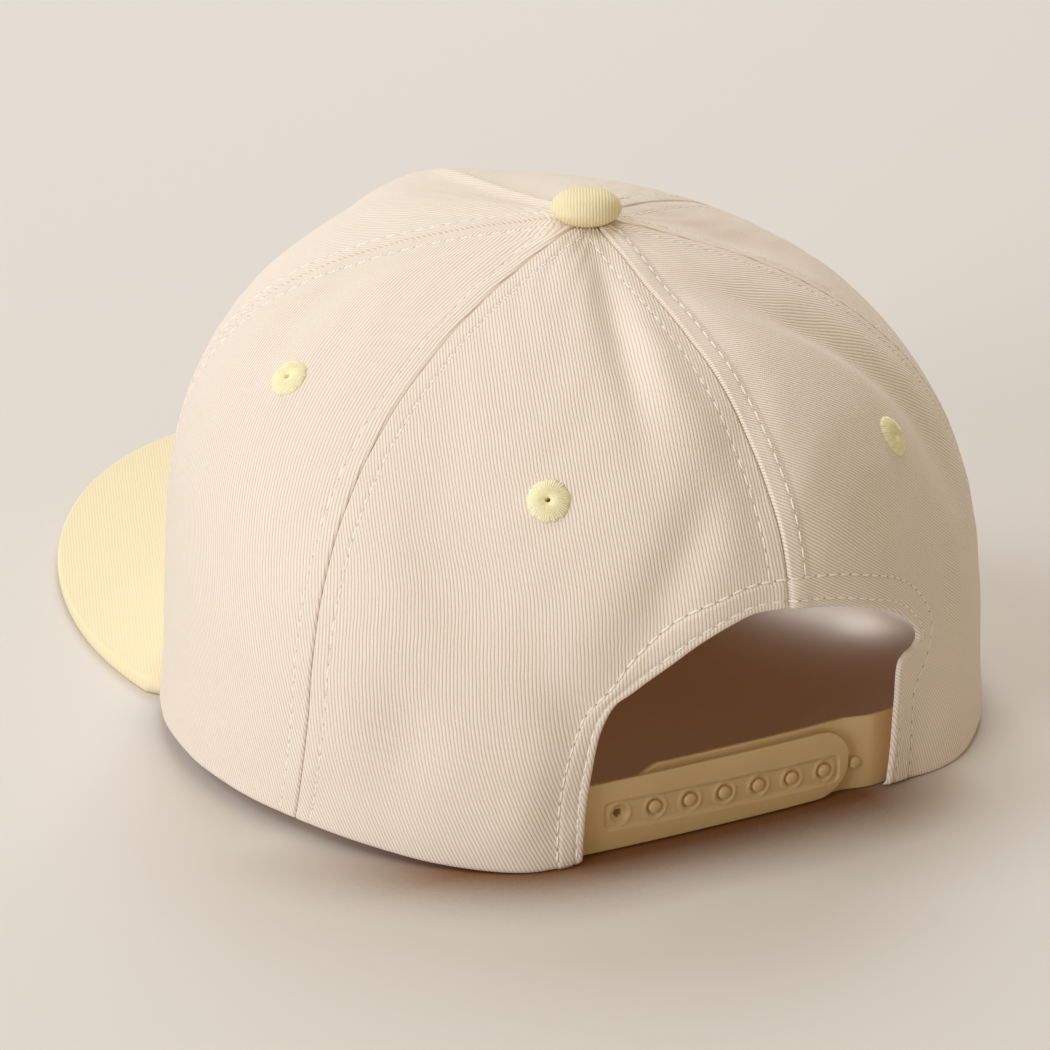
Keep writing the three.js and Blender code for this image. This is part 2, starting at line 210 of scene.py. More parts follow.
# The folds in the cloth. The solids have all but the hollow beside the left tab, some a little plainer.
FOLDS = (
    Fold("crease under the button", 15.8, 0.80, 107, 0.0234, 0.0035, 0.0022),
    Fold("swelling beside the crease", 9.5, 0.70, 97, 0.0167, 0.0052, -0.0013),
    Fold("slanting hollow", 12.7, 0.37, 129, 0.0174, 0.0049, 0.0017),
    Fold("hollow along the back seam", 1.0, 0.49, 100, 0.0175, 0.0064, 0.0018),
    Fold("hollow along the seam's top", -0.5, 0.79, 92, 0.0180, 0.0065, 0.0012),
    Fold("swelling beside the opening", 27.5, 0.18, 114, 0.0253, 0.0062, -0.0005),
    Fold("hollow beside the left tab", 25.5, 0.08, 102, 0.014, 0.0055, 0.0014),
    Fold("low hollow", 45, 0.17, 95, 0.011, 0.007, 0.0014),
    Fold("hollow at the tab", 25.5, 0.19, 60, 0.009, 0.005, 0.0015),
    Fold("wide hollow", 41, 0.45, 89, 0.025, 0.0102, 0.0014),
    Fold("long fold on the right", -36, 0.72, 55, 0.027, 0.006, 0.0026),
    Fold("wide hollow on the right", -44, 0.46, 60, 0.017, 0.011, 0.0018),
    Fold("pinch near the top", -76, 0.86, 90, 0.014, 0.006, 0.0018),
    Fold("low fold on the right", -34, 0.22, 90, 0.011, 0.006, 0.0014),
    Fold("tuck at the left tab", 15.0, 0.0, 90, 0.031, 0.013, 0.0055),
    Fold("tuck at the right tab", -22.5, 0.0, 90, 0.040, 0.013, 0.0034),
    Fold("trough on the side", 92, 0.73, 70, 0.016, 0.006, 0.0011),
)


class CrownSurface:
    """The outer face of the crown's cloth, worked out as the solids' is, and placed by the frame."""

    TOP = 0.1013
    BUTTON_Y = 0.0185
    SHANK_FOOT = 0.0960
    FOLD_THROUGH = 0.030
    TABLE_STEPS = (144, 80)
    SEARCH_ROUNDS = 9
    FIRST_CLIMB = 0.16
    LONGEST_TURN = 4.0
    LONGEST_CLIMB = 0.05

    def __init__(self, columns: tuple[Column, ...], folds: tuple[Fold, ...]) -> None:
        """Places the crown under the top button and measures its cloth.

        Args:
            columns: The upright sections, from the centre back to the centre front.
            folds: The folds pressed into it.
        """
        low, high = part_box("top_button")
        self.origin = np.array([0.0, (low.y + high.y) / 2 - self.BUTTON_Y, low.z - self.SHANK_FOOT])
        names = ("reach", "hem", "lean", "rise", "shoulder", "drop")
        self.table = {name: np.array([getattr(c, name) for c in columns]) for name in names}
        self.folds = [self._placed(fold) for fold in folds]
        self._measure()

    def column(self, name: str, angle: Array) -> Array:
        """One of the columns' values at any angle, as a smooth curve through the columns.

        Args:
            name: Which of the columns' measures, such as hem or reach.
            angle: Angles round the hat, in degrees.

        Returns:
            The measure at each angle.
        """
        values = self.table[name]
        turn = np.abs(wrapped(np.asarray(angle, float))) / COLUMN_STEP
        start = np.minimum(turn.astype(int), len(values) - 2)
        mirrored = np.concatenate([[values[1]], values, [values[-2]]])
        return between(*(mirrored[start + step] for step in range(4)), turn - start)

    def smooth(self, angle: Array, rise: Array) -> Array:
        """The crown without its folds.

        Args:
            angle: Angles round the hat, in degrees.
            rise: Shares of the way up the crown.

        Returns:
            Places, in metres.
        """
        angle, rise = np.broadcast_arrays(np.asarray(angle, float), np.asarray(rise, float))
        hem = self.column("hem", angle)
        reach = self.column("reach", angle)
        down = 1.0 - rise
        b0, b1, b2, b3 = down**3, 3 * rise * down**2, 3 * rise**2 * down, rise**3
        out = b0 + b1 * (1 + self.column("lean", angle)) + b2 * self.column("shoulder", angle)
        up = b1 * self.column("rise", angle) + b2 * (1 - self.column("drop", angle)) + b3
        radians = np.radians(angle)
        x = reach * np.sin(radians) * out
        y = self.BUTTON_Y + (reach * np.cos(radians) - self.BUTTON_Y) * out
        return np.stack([x, y, hem + (self.TOP - hem) * up], -1) + self.origin

    @staticmethod
    def directions(surface: Callable, angle: Array, rise: Array) -> tuple[Array, Array, Array]:
        """Unit directions on a surface: towards a growing angle, up, and out of the cloth.

        Args:
            surface: What gives a place for each angle and rise.
            angle: Angles round the hat, in degrees.
            rise: Shares of the way up the crown.

        Returns:
            The three directions.
        """
        turn, climb = 0.2, 0.002
        side = unit(surface(angle + turn, rise) - surface(angle - turn, rise))
        up = unit(surface(angle, np.minimum(rise + climb, 1.0)) - surface(angle, rise - climb))
        out = unit(np.cross(up, side))
        return side, unit(np.cross(side, out)), out

    def _placed(self, fold: Fold) -> tuple:
        """A fold's middle, directions and sizes.

        Args:
            fold: The fold.

        Returns:
            Its middle, the directions along and across it over its sizes, outwards, and its depth.
        """
        place = np.array(float(fold.at)), np.array(fold.turn_up)
        side, up, out = self.directions(self.smooth, *place)
        slant = math.radians(fold.slant)
        along = side * math.cos(slant) + up * math.sin(slant)
        across = up * math.cos(slant) - side * math.sin(slant)
        return self.smooth(*place), along / fold.long, across / fold.wide, out, fold.depth

    def point(self, angle: Array, rise: Array) -> Array:
        """The outer face, folds and all.

        Args:
            angle: Angles round the hat, in degrees.
            rise: Shares of the way up the crown.

        Returns:
            Places, in metres.
        """
        bare = self.smooth(angle, rise)
        depth = np.zeros(bare.shape[:-1])
        for middle, along, across, out, fold_depth in self.folds:
            away = bare - middle
            through = away @ out / self.FOLD_THROUGH
            depth += fold_depth * np.exp(-((away @ along) ** 2) - (away @ across) ** 2 - through**2)
        return bare - self.directions(self.smooth, angle, rise)[2] * depth[..., None]

    def out(self, angle: Array, rise: Array) -> Array:
        """The cloth's outward direction, folds and all."""
        return self.directions(self.point, np.asarray(angle, float), np.asarray(rise, float))[2]

    def _measure(self) -> None:
        """Fills tables of the cloth's length round the crown and up it."""
        wide, high = self.TABLE_STEPS
        self.angles = np.linspace(-180.0, 180.0, wide + 1)
        self.rises = np.linspace(0.0, 1.0, high + 1)
        net = self.smooth(self.angles[:, None], self.rises[None, :])
        round_steps = np.linalg.norm(np.diff(net, axis=0), axis=-1)
        up_steps = np.linalg.norm(np.diff(net, axis=1), axis=-1)
        self.round_length = np.pad(np.cumsum(round_steps, axis=0), ((1, 0), (0, 0)))
        self.up_length = np.pad(np.cumsum(up_steps, axis=1), ((0, 0), (1, 0)))

    def _read(self, table: Array, angle: Array, rise: Array) -> Array:
        """A table's value between its entries.

        Args:
            table: Values at even steps of angle and rise.
            angle: Angles round the hat, in degrees.
            rise: Shares of the way up the crown.

        Returns:
            The value at each angle and rise.
        """
        wide, high = self.TABLE_STEPS
        turn = (np.asarray(angle, float) + 180.0) / 360.0 * wide
        climb = np.clip(np.asarray(rise, float), 0.0, 1.0) * high
        i = np.clip(np.floor(turn).astype(int), 0, wide - 1)
        j = np.clip(np.floor(climb).astype(int), 0, high - 1)
        s, t = turn - i, climb - j
        lower = table[i, j] * (1 - s) + table[i + 1, j] * s
        upper = table[i, j + 1] * (1 - s) + table[i + 1, j + 1] * s
        return lower * (1 - t) + upper * t

    def height(self, angle: Array, rise: Array) -> Array:
        """Length of cloth from the rim up to a place."""
        return self._read(self.up_length, wrapped(np.asarray(angle, float)), rise)

    def width(self, centre: float, angle: Array, rise: Array) -> Array:
        """Length of cloth round the crown from a centre line to a place, at the same rise.

        Args:
            centre: The centre line's angle. One of 180 has its places from 90 to 270.
            angle: The places' angles.
            rise: The places' rises.

        Returns:
            The lengths, positive towards a growing angle.
        """
        places = np.asarray(angle, float)
        if centre < 180.0:
            to_centre = self._read(self.round_length, np.full(places.shape, centre), rise)
            return self._read(self.round_length, places, rise) - to_centre
        half_turn = self._read(self.round_length, np.zeros(places.shape), rise)
        before = self._read(self.round_length, np.minimum(places, 180.0), rise) - 2 * half_turn
        after = self._read(self.round_length, np.maximum(places, 180.0) - 360.0, rise)
        return np.where(places <= 180.0, before, after)

    def per_degree(self, angle: Array, rise: Array) -> Array:
        """Length of cloth round the crown for each degree."""
        ahead = self.smooth(np.asarray(angle, float) + 0.5, rise)
        return np.linalg.norm(ahead - self.smooth(np.asarray(angle, float) - 0.5, rise), axis=-1)

    def find(self, x: Array, z: Array) -> tuple[Array, Array]:
        """The angles and rises at which the back of the crown passes places across and up.

        Args:
            x: Places across, in metres.
            z: Heights, in metres.

        Returns:
            The angles and the rises.
        """
        angle = np.degrees(np.arctan2(x, MEAN_RADIUS))
        rise = np.clip(z / self.FIRST_CLIMB, 0.0, 0.5)
        turn, climb = 0.1, 0.001
        for _ in range(self.SEARCH_ROUNDS):
            here = self.point(angle, rise)
            by_angle = (self.point(angle + turn, rise) - here) / turn
            by_rise = (self.point(angle, rise + climb) - here) / climb
            dx, dz = x - here[..., 0], z - here[..., 2]
            size = by_angle[..., 0] * by_rise[..., 2] - by_rise[..., 0] * by_angle[..., 2]
            round_step = (dx * by_rise[..., 2] - dz * by_rise[..., 0]) / size
            up_step = (dz * by_angle[..., 0] - dx * by_angle[..., 2]) / size
            angle = angle + np.clip(round_step, -self.LONGEST_TURN, self.LONGEST_TURN)
            rise = rise + np.clip(up_step, -self.LONGEST_CLIMB, self.LONGEST_CLIMB)
        return angle, rise


# Mesh making


def linked(name: str, data: bpy.types.ID) -> Piece:
    """An object for a mesh, a lamp or a camera, linked to the scene.

    Args:
        name: The object's name.
        data: Its mesh, lamp or camera.

    Returns:
        The object.
    """
    thing = bpy.data.objects.new(name, data)
    bpy.context.scene.collection.objects.link(thing)
    return thing


def grid_piece(name: str, steps: tuple[int, int], place: Place) -> Piece:
    """A sheet made from a grid, with each point set to its place and its UV to a place on the cloth.

    Args:
        name: The piece's name.
        steps: Faces across and up.
        place: Gives positions and UVs in metres for places from 0 to 1 across and up.

    Returns:
        The new object, linked to the scene.
    """
    bm = bmesh.new()
    bmesh.ops.create_grid(bm, x_segments=steps[0], y_segments=steps[1], size=0.5)
    mesh = bpy.data.meshes.new(name)
    bm.to_mesh(mesh)
    bm.free()
    flat = np.empty(len(mesh.vertices) * 3)
    mesh.vertices.foreach_get("co", flat)
    flat = flat.reshape(-1, 3)
    positions, cloth = place(flat[:, 0] + 0.5, flat[:, 1] + 0.5)
    mesh.vertices.foreach_set("co", positions.ravel())
    corners = np.empty(len(mesh.loops), int)
    mesh.loops.foreach_get("vertex_index", corners)
    layer = mesh.uv_layers.new(name=UV_NAME)
    layer.data.foreach_set("uv", cloth[corners].ravel())
    mesh.update()
    return linked(name, mesh)


def mesh_piece(name: str, bm: BMesh) -> Piece:
    """An object made from a bmesh, which is freed.

    Args:
        name: The piece's name.
        bm: Its shape.

    Returns:
        The piece.
    """
    mesh = bpy.data.meshes.new(name)
    bm.to_mesh(mesh)
    bm.free()
    return linked(name, mesh)


def spun(profile: list[Vector], sides: int) -> BMesh:
    """A profile turned once round the Z axis, with its doubles merged.

    Args:
        profile: The profile's points, in order.
        sides: The steps of the turn.

    Returns:
        The turned shape.
    """
    bm = bmesh.new()
    corners = [bm.verts.new(point) for point in profile]
    edges = [bm.edges.new(pair) for pair in zip(corners, corners[1:])]
    bmesh.ops.spin(
        bm, geom=corners + edges, cent=(0, 0, 0), axis=(0, 0, 1), angle=2 * math.pi,
        steps=sides, use_merge=True,
    )
    bmesh.ops.remove_doubles(bm, verts=bm.verts, dist=1e-7)
    return bm


def seat(bm: BMesh, axes: tuple[Vector, Vector, Vector], place: Vector) -> None:
    """Turns a mesh's X, Y and Z to three directions, and moves it to a place."""
    turn = Matrix(axes).transposed().to_4x4()
    bmesh.ops.transform(bm, matrix=Matrix.Translation(place) @ turn, verts=bm.verts)


def join_mesh(bm: BMesh, extra: BMesh) -> None:
    """Moves one bmesh into another.

    Args:
        bm: The one that grows.
        extra: The one that is moved into it, and freed.
    """
    store = bpy.data.meshes.new("store")
    extra.to_mesh(store)
    extra.free()
    bm.from_mesh(store)
    bpy.data.meshes.remove(store)


def trim_faces(piece: Piece, leaves: Callable[[Array], Array]) -> None:
    """Takes away the faces whose middles lie where the cloth is cut away.

    Args:
        piece: The sheet.
        leaves: What tells which of the faces' middles are cut away.
    """
    bm = bmesh.new()
    bm.from_mesh(piece.data)
    bm.faces.ensure_lookup_table()
    middles = np.array([face.calc_center_median() for face in bm.faces])
    gone = leaves(middles)
    faces = [face for face, away in zip(bm.faces, gone) if away]
    bmesh.ops.delete(bm, geom=faces, context="FACES")
    bm.to_mesh(piece.data)
    bm.free()


def thicken(piece: Piece, thickness: float) -> None:
    """Gives a sheet a wall under its outer face.

    Args:
        piece: The sheet.
        thickness: Its wall, in metres.
    """
    wall = piece.modifiers.new("wall", "SOLIDIFY")
    wall.thickness = thickness
    wall.offset = -1.0
    wall.use_rim = True


def finish_piece(
    piece: Piece, finish: Material, slot: Slot, *nodes: str,
    inside: Material | None = None,
) -> None:
    """Dresses a piece and ties it to the frame.

    Args:
        piece: The piece.
        finish: Its material.
        slot: The record's slot that the finish belongs to. It is not used.
        nodes: The CAD nodes that it stands for.
        inside: The material of a thickened piece's inner face, if it has one of its own.
    """
    piece.data.materials.clear()
    piece.data.materials.append(finish)
    if inside:
        piece.data.materials.append(inside)
        piece.modifiers["wall"].material_offset = 1
    piece.data.polygons.foreach_set("use_smooth", [True] * len(piece.data.polygons))
    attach(piece, BODY)
    if nodes:
        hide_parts(*nodes)
    LOG.info("%s: %d faces", piece.name, len(piece.data.polygons))


# Materials


class NodeSheet:
    """A short way to add and join the nodes of one node tree."""

    def __init__(self, tree: bpy.types.NodeTree) -> None:
        """Starts on a tree, which is emptied."""
        self.tree = tree
        tree.nodes.clear()

    def add(self, kind: str, values: dict | None = None, **settings: object) -> bpy.types.Node:
        """Adds a node.

        Args:
            kind: The node's type.
            values: Its input values by name or number. A socket joins, anything else is set.
            settings: Its own settings.

        Returns:
            The node.
        """
        node = self.tree.nodes.new(kind)
        for name, value in settings.items():
            setattr(node, name, value)
        for name, value in (values or {}).items():
            if isinstance(value, Socket):
                self.tree.links.new(value, node.inputs[name])
            else:
                node.inputs[name].default_value = value
        return node

    def math(self, operation: str, *values: object) -> Socket:
        """One sum of a Math node."""
        node = self.add("ShaderNodeMath", dict(enumerate(values)), operation=operation)
        return node.outputs[0]

    def mix(self, share: object, first: object, second: object) -> Socket:
        """A colour between two, by a share.

        Args:
            share: How much of the second colour there is.
            first: The colour at a share of 0.
            second: The colour at a share of 1.

        Returns:
            The mixed colour.
        """
        # A Mix node of colours reads them at its sockets 6 and 7, and gives the result at 2.
        node = self.add("ShaderNodeMix", {0: share, 6: first, 7: second}, data_type="RGBA")
        return node.outputs[2]

    def share(self, value: Socket, low: float, high: float) -> Socket:
        """A share that goes from 0 at low to 1 at high."""
        return self.add("ShaderNodeMapRange", {"Value": value, 1: low, 2: high}).outputs[0]

    def noise(self, place: Socket, scale: float, detail: float) -> Socket:
        """The value of a Noise node."""
        values = {"Vector": place, "Scale": scale, "Detail": detail}
        return self.add("ShaderNodeTexNoise", values).outputs["Fac"]

    def surface(self, values: dict) -> None:
        """The material's shader, joined to its output."""
        shader = self.add("ShaderNodeBsdfPrincipled", values)
        self.add("ShaderNodeOutputMaterial", {"Surface": shader.outputs[0]})


def new_group(name: str, inputs: dict[str, str], outputs: dict[str, str]) -> tuple:
    """A shader node group with named sockets.

    Args:
        name: The group's name.
        inputs: Socket types by name.
        outputs: Socket types by name.

    Returns:
        The tree, its sheet, its input node and its output node.
    """
    tree = bpy.data.node_groups.new(name, "ShaderNodeTree")
    for socket_name, kind in inputs.items():
        tree.interface.new_socket(socket_name, in_out="INPUT", socket_type=kind)
    for socket_name, kind in outputs.items():
        tree.interface.new_socket(socket_name, in_out="OUTPUT", socket_type=kind)
    sheet = NodeSheet(tree)
    return tree, sheet, sheet.add("NodeGroupInput"), sheet.add("NodeGroupOutput")


def new_material(name: str) -> tuple[Material, NodeSheet]:
    """A material and its empty sheet.

    Args:
        name: The material's name.

    Returns:
        The material and its sheet.
    """
    material = bpy.data.materials.new(name)
    material.use_nodes = True
    return material, NodeSheet(material.node_tree)


def painted_glow_values(colour: Triple | None) -> dict:
    """A shader's values for a painted glow that stands for the light soaking through from behind it, if
    any.
    """
    return {"Emission Color": (*colour, 1.0), "Emission Strength": 1.0} if colour else {}


@dataclass(frozen=True)
class TwillRibs:
    """Ribs of twill: rounded, beaded by the threads that cross them, and never quite even.

    Lengths are in ribs. stray, stray_scale: how far the ribs wander, and how quickly. beads: their
    number to a rib's width. bead_shift: their shift from rib to rib. The rest is how much the beads
    and fibres show in the height and in the colour, which goes from the groove's colour to the crest's
    over each rib and bead, a painted shade in the grooves and between the beads, and which the fibres
    mottle.
    """

    stray: float = 0.9
    stray_scale: float = 0.10
    beads: float = 1.7
    bead_shift: float = 0.38
    bead_height: float = 0.16
    bead_painted_shade: float = 0.06
    fibre_scale: float = 2.6
    fibre_height: float = 0.22
    fibre_shade: float = 0.7
    painted_shade_power: float = 0.75

    def build(self) -> bpy.types.NodeTree:
        """The node group that all the twills share.

        Returns:
            The node group.
        """
        tree, sheet, given, result = new_group(
            "twill_ribs",
            {"Vector": "NodeSocketVector", "Crest": "NodeSocketColor", "Groove": "NodeSocketColor"},
            {"Color": "NodeSocketColor", "Height": "NodeSocketFloat"},
        )
        vector = given.outputs["Vector"]
        slub = sheet.noise(vector, self.stray_scale, 3.0)
        parts = sheet.add("ShaderNodeSeparateXYZ", {0: vector})
        wander = sheet.math("MULTIPLY", sheet.math("SUBTRACT", slub, 0.5), self.stray)
        across = sheet.math("ADD", parts.outputs[0], wander)
        rib = self._humps(sheet, across)
        along = sheet.math("MULTIPLY", parts.outputs[1], self.beads)
        shift = sheet.math("MULTIPLY", sheet.math("FLOOR", across), self.bead_shift)
        bead = self._humps(sheet, sheet.math("ADD", along, shift))
        fibre = sheet.noise(vector, self.fibre_scale, 4.0)
        beaded = sheet.math("MULTIPLY_ADD", bead, self.bead_height, 1.0 - self.bead_height)
        body = sheet.math("MULTIPLY", rib, beaded)
        height = sheet.math("ADD", body, sheet.math("MULTIPLY", fibre, self.fibre_height))
        # The colour darkens into each groove and between the beads: painted shade.
        bead_painted_highlight = sheet.math("MULTIPLY", bead, self.bead_painted_shade)
        shade = sheet.math("ADD", sheet.math("POWER", rib, self.painted_shade_power), bead_painted_highlight)
        mottle = sheet.math("MULTIPLY", sheet.math("SUBTRACT", fibre, 0.5), self.fibre_shade)
        share = sheet.add("ShaderNodeClamp", {"Value": sheet.math("ADD", shade, mottle)}).outputs[0]
        colour = sheet.mix(share, given.outputs["Groove"], given.outputs["Crest"])
        tree.links.new(colour, result.inputs["Color"])
        tree.links.new(height, result.inputs["Height"])
        return tree

    @staticmethod
    def _humps(sheet: NodeSheet, value: Socket) -> Socket:
        """A row of rounded humps, one from each whole number to the next."""
        part = sheet.math("SUBTRACT", sheet.math("MULTIPLY", sheet.math("FRACT", value), 2.0), 1.0)
        return sheet.math("SUBTRACT", 1.0, sheet.math("MULTIPLY", part, part))


@dataclass(frozen=True)
class TwillFinish:
    """Matt cotton twill.

    turn: the ribs' direction on the flat cloth, in degrees from upright, - leaning left at the top.
    pitch: from rib to rib. relief: how far the ribs stand up. planar: whether it reads the object's
    own X and Y. groove: the colour between the ribs, darker than the crest as painted shade.
    painted_glow: a painted glow that stands for the light soaking through from the other side of the
    cloth.
    """

    name: str
    crest: Triple
    groove: Triple
    turn: float
    pitch: float = 0.00066
    relief: float = 0.00009
    planar: bool = False
    painted_glow: Triple | None = None
    roughness: float = 0.92
    gloss: float = 0.15
    sheen: float = 0.12
    sheen_roughness: float = 0.5

    def build(self, ribs: bpy.types.NodeTree) -> Material:
        """The material.

        Args:
            ribs: The group that makes the ribs.

        Returns:
            The material, which reads the cloth's UV map, or the object's own X and Y if planar.
        """
        material, sheet = new_material(self.name)
        if self.planar:
            source = sheet.add("ShaderNodeTexCoord").outputs["Object"]
        else:
            source = sheet.add("ShaderNodeUVMap", uv_map=UV_NAME).outputs["UV"]
        turn, scale = (0.0, 0.0, math.radians(self.turn)), (1 / self.pitch,) * 3
        turned = sheet.add("ShaderNodeMapping", {"Vector": source, "Rotation": turn, "Scale": scale})
        colours = {"Crest": (*self.crest, 1.0), "Groove": (*self.groove, 1.0)}
        group = sheet.add("ShaderNodeGroup", {"Vector": turned.outputs[0], **colours}, node_tree=ribs)
        bumps = {"Height": group.outputs["Height"], "Distance": self.relief}
        raised = sheet.add("ShaderNodeBump", bumps)
        sheet.surface({
            "Base Color": group.outputs["Color"], "Normal": raised.outputs[0],
            "Roughness": self.roughness, "Specular IOR Level": self.gloss,
            "Sheen Weight": self.sheen, "Sheen Roughness": self.sheen_roughness,
            **painted_glow_values(self.painted_glow),
        })
        return material


@dataclass(frozen=True)
class ThreadFinish:
    """Spun thread with a slight sheen, twisted along its length."""

    name: str
    light: Triple
    dark: Triple
    roughness: float = 0.62
    sheen: float = 0.2
    twist_scale: float = 3200.0
    relief: float = 0.00008

    def build(self) -> Material:
        """The material, which reads the object's own coordinates.

        Returns:
            The material.
        """
        material, sheet = new_material(self.name)
        source = sheet.add("ShaderNodeTexCoord").outputs["Object"]
        twist = sheet.noise(source, self.twist_scale, 3.0)
        colour = sheet.mix(sheet.share(twist, 0.35, 0.65), (*self.dark, 1.0), (*self.light, 1.0))
        raised = sheet.add("ShaderNodeBump", {"Height": twist, "Distance": self.relief})
        sheet.surface({
            "Base Color": colour, "Normal": raised.outputs[0],
            "Roughness": self.roughness, "Sheen Weight": self.sheen,
        })
        return material


@dataclass(frozen=True)
class PlasticFinish:
    """Soft moulded plastic that lets a little light into itself, with a faint painted glow."""

    name: str
    colour: Triple
    deep: Triple
    # A faint painted glow, standing for the light that comes through the plastic.
    painted_glow: Triple = (0.034, 0.015, 0.002)
    roughness: float = 0.38
    roughness_spread: float = 0.16
    cloud_scale: float = 60.0
    grain_scale: float = 1500.0
    grain_relief: float = 0.00001
    light_share: float = 0.35
    light_depth: Triple = (0.004, 0.002, 0.0008)

    def build(self) -> Material:
        """The material, which reads the object's own coordinates.

        Returns:
            The material.
        """
        material, sheet = new_material(self.name)
        source = sheet.add("ShaderNodeTexCoord").outputs["Object"]
        cloud = sheet.noise(source, self.cloud_scale, 2.0)
        grain = sheet.noise(source, self.grain_scale, 2.0)
        colour = sheet.mix(cloud, (*self.deep, 1.0), (*self.colour, 1.0))
        rough = sheet.math("MULTIPLY_ADD", grain, self.roughness_spread, self.roughness)
        raised = sheet.add("ShaderNodeBump", {"Height": grain, "Distance": self.grain_relief})
        sheet.surface({
            "Base Color": colour, "Normal": raised.outputs[0], "Roughness": rough,
            "Subsurface Weight": self.light_share, "Subsurface Radius": self.light_depth,
            "Subsurface Scale": 1.0, **painted_glow_values(self.painted_glow),
        })
        return material


# Each groove colour is darker than its crest colour: painted shade between the ribs.
CREAM_CREST = (0.90, 0.80, 0.69)
SHADED_CREAM_GROOVE = (0.64, 0.50, 0.37)
YELLOW_CREST = (0.89, 0.77, 0.50)
SHADED_YELLOW_GROOVE = (0.83, 0.71, 0.44)
SHADED_BUTTON_GROOVE = (0.80, 0.68, 0.38)
# The inside gets a darker, warmer copy of the cream as painted shade, and a painted glow for the
# warm light that reaches it through the cloth.
SHADED_INNER_CREST = (0.82, 0.67, 0.50)
SHADED_INNER_GROOVE = (0.62, 0.46, 0.32)
PAINTED_GLOW = (0.044, 0.016, 0.003)

YELLOW_TWILL = TwillFinish("yellow_twill", YELLOW_CREST, SHADED_YELLOW_GROOVE, 20.0, relief=0.00004)
BUTTON_TWILL = TwillFinish("button_twill", YELLOW_CREST, SHADED_BUTTON_GROOVE, 28.0, 0.0006, planar=True)
SHADED_INNER_TWILL = TwillFinish("shaded_inner_twill", SHADED_INNER_CREST, SHADED_INNER_GROOVE, 20.0, painted_glow=PAINTED_GLOW)
SHADED_BAND_TWILL = TwillFinish("band_twill", SHADED_INNER_CREST, SHADED_INNER_GROOVE, 45.0, painted_glow=PAINTED_GLOW)
CREAM_THREAD = ThreadFinish("cream_thread", (0.97, 0.92, 0.84), (0.90, 0.82, 0.71))
YELLOW_THREAD = ThreadFinish("yellow_thread", (0.98, 0.92, 0.62), (0.90, 0.81, 0.49))
# Small dark marks between the stitches: painted shade in the needle holes.
PAINTED_NEEDLE_HOLE_SHADE = ThreadFinish("needle_hole_painted_shade", (0.56, 0.43, 0.31), (0.46, 0.34, 0.23))
BEIGE_PLASTIC = PlasticFinish("beige_plastic", (0.59, 0.43, 0.23), (0.50, 0.345, 0.165))


# Sewing


@dataclass(frozen=True)
class Thread:
    """A sewing thread as it lies on the cloth, or a row of small dark marks between its stitches that
    paint the shade in the needle holes.

    start: where the first one lies, as a share of the pitch. sink: how far its middle lies below
    the cloth. flatness: its breadth as a share of its height.
    """

    radius: float = 0.00021
    flatness: float = 1.15
    pitch: float = 0.0029
    length: float = 0.0024
    sink: float = 0.00002
    start: float = 0.5

    def sew(self, bm: BMesh, points: Array, out: Array) -> int:
        """Adds a row of stitches.

        Args:
            bm: The mesh that they go into.
            points: The row's line on the cloth.
            out: The cloth's outward direction at each point.

        Returns:
            How many stitches were sewn.
        """
        row = bmesh.new()
        places, count = even_steps(points, self.pitch, self.start)
        rows = np.arange(len(points))
        for place in places:
            here = Vector([np.interp(place, rows, points[:, axis]) for axis in range(3)])
            upward = Vector([np.interp(place, rows, out[:, axis]) for axis in range(3)]).normalized()
            start = min(int(place), len(points) - 2)
            ahead = Vector(points[start + 1] - points[start]).normalized()
            across = upward.cross(ahead).normalized()
            upward = ahead.cross(across)
            turn = Matrix((ahead, across, upward)).transposed().to_4x4()
            size = Matrix.Diagonal((self.length / 2, self.radius * self.flatness, self.radius, 1.0))
            middle = Matrix.Translation(here - upward * self.sink)
            bmesh.ops.create_uvsphere(
                row, u_segments=6, v_segments=4, radius=1.0,
                matrix=middle @ turn @ size @ Matrix.Rotation(math.pi / 2, 4, "Y"),
            )
        join_mesh(bm, row)
        return count


# The crown


@dataclass(frozen=True)
class Panel:
    """One panel of the crown, from seam to seam.

    twill: the ribs' direction. steps: the mesh's faces across and up. low_turn: how far the ribs have
    turned by the rim, in degrees.
    """

    name: str
    start: float
    end: float
    twill: float
    steps: tuple[int, int]
    low_turn: float = 0.0

    @property
    def centre(self) -> float:
        """The angle of its middle."""
        return (self.start + self.end) / 2


BACK_SEAM = 57.0
FRONT_SEAM = 107.5
SEAMS = (0.0, BACK_SEAM, FRONT_SEAM, -FRONT_SEAM, -BACK_SEAM)
# The seams beside the back panels lean this many degrees forward at the rim, from this rise down.
SEAM_LEAN = 1.9
SEAM_LEAN_RISE = 0.25


def seam_angle(seam: float, rise: Array) -> Array:
    """A seam's angle at each rise.

    Args:
        seam: The seam's angle above its lean, in degrees.
        rise: Shares of the way up the crown.

    Returns:
        The angle at each rise, in degrees.
    """
    there = wrapped(seam)
    if abs(there) != BACK_SEAM:
        return np.full(np.shape(rise), seam)
    lean = np.maximum(0.0, 1.0 - rise / SEAM_LEAN_RISE) ** 2
    return seam + math.copysign(SEAM_LEAN, there) * lean


PANELS = (
    Panel("front_panel", FRONT_SEAM, 360.0 - FRONT_SEAM, -20.0, (190, 130)),
    Panel("side_panel_left", BACK_SEAM, FRONT_SEAM, -22.0, (110, 150)),
    Panel("side_panel_right", -FRONT_SEAM, -BACK_SEAM, 30.0, (110, 150)),
    Panel("back_panel_left", 0.0, BACK_SEAM, -13.0, (120, 160), -16.0),
    Panel("back_panel_right", -BACK_SEAM, 0.0, -50.0, (120, 160), 34.0),
)


@dataclass(frozen=True)
class HemStation:
    """A place along the opening: the edge of the cloth, and its hem's stitching further in.

    Both are places across (x) and up (z), seen from behind.
    """

    edge_x: float
    edge_z: float
    rail_x: float
    rail_z: float


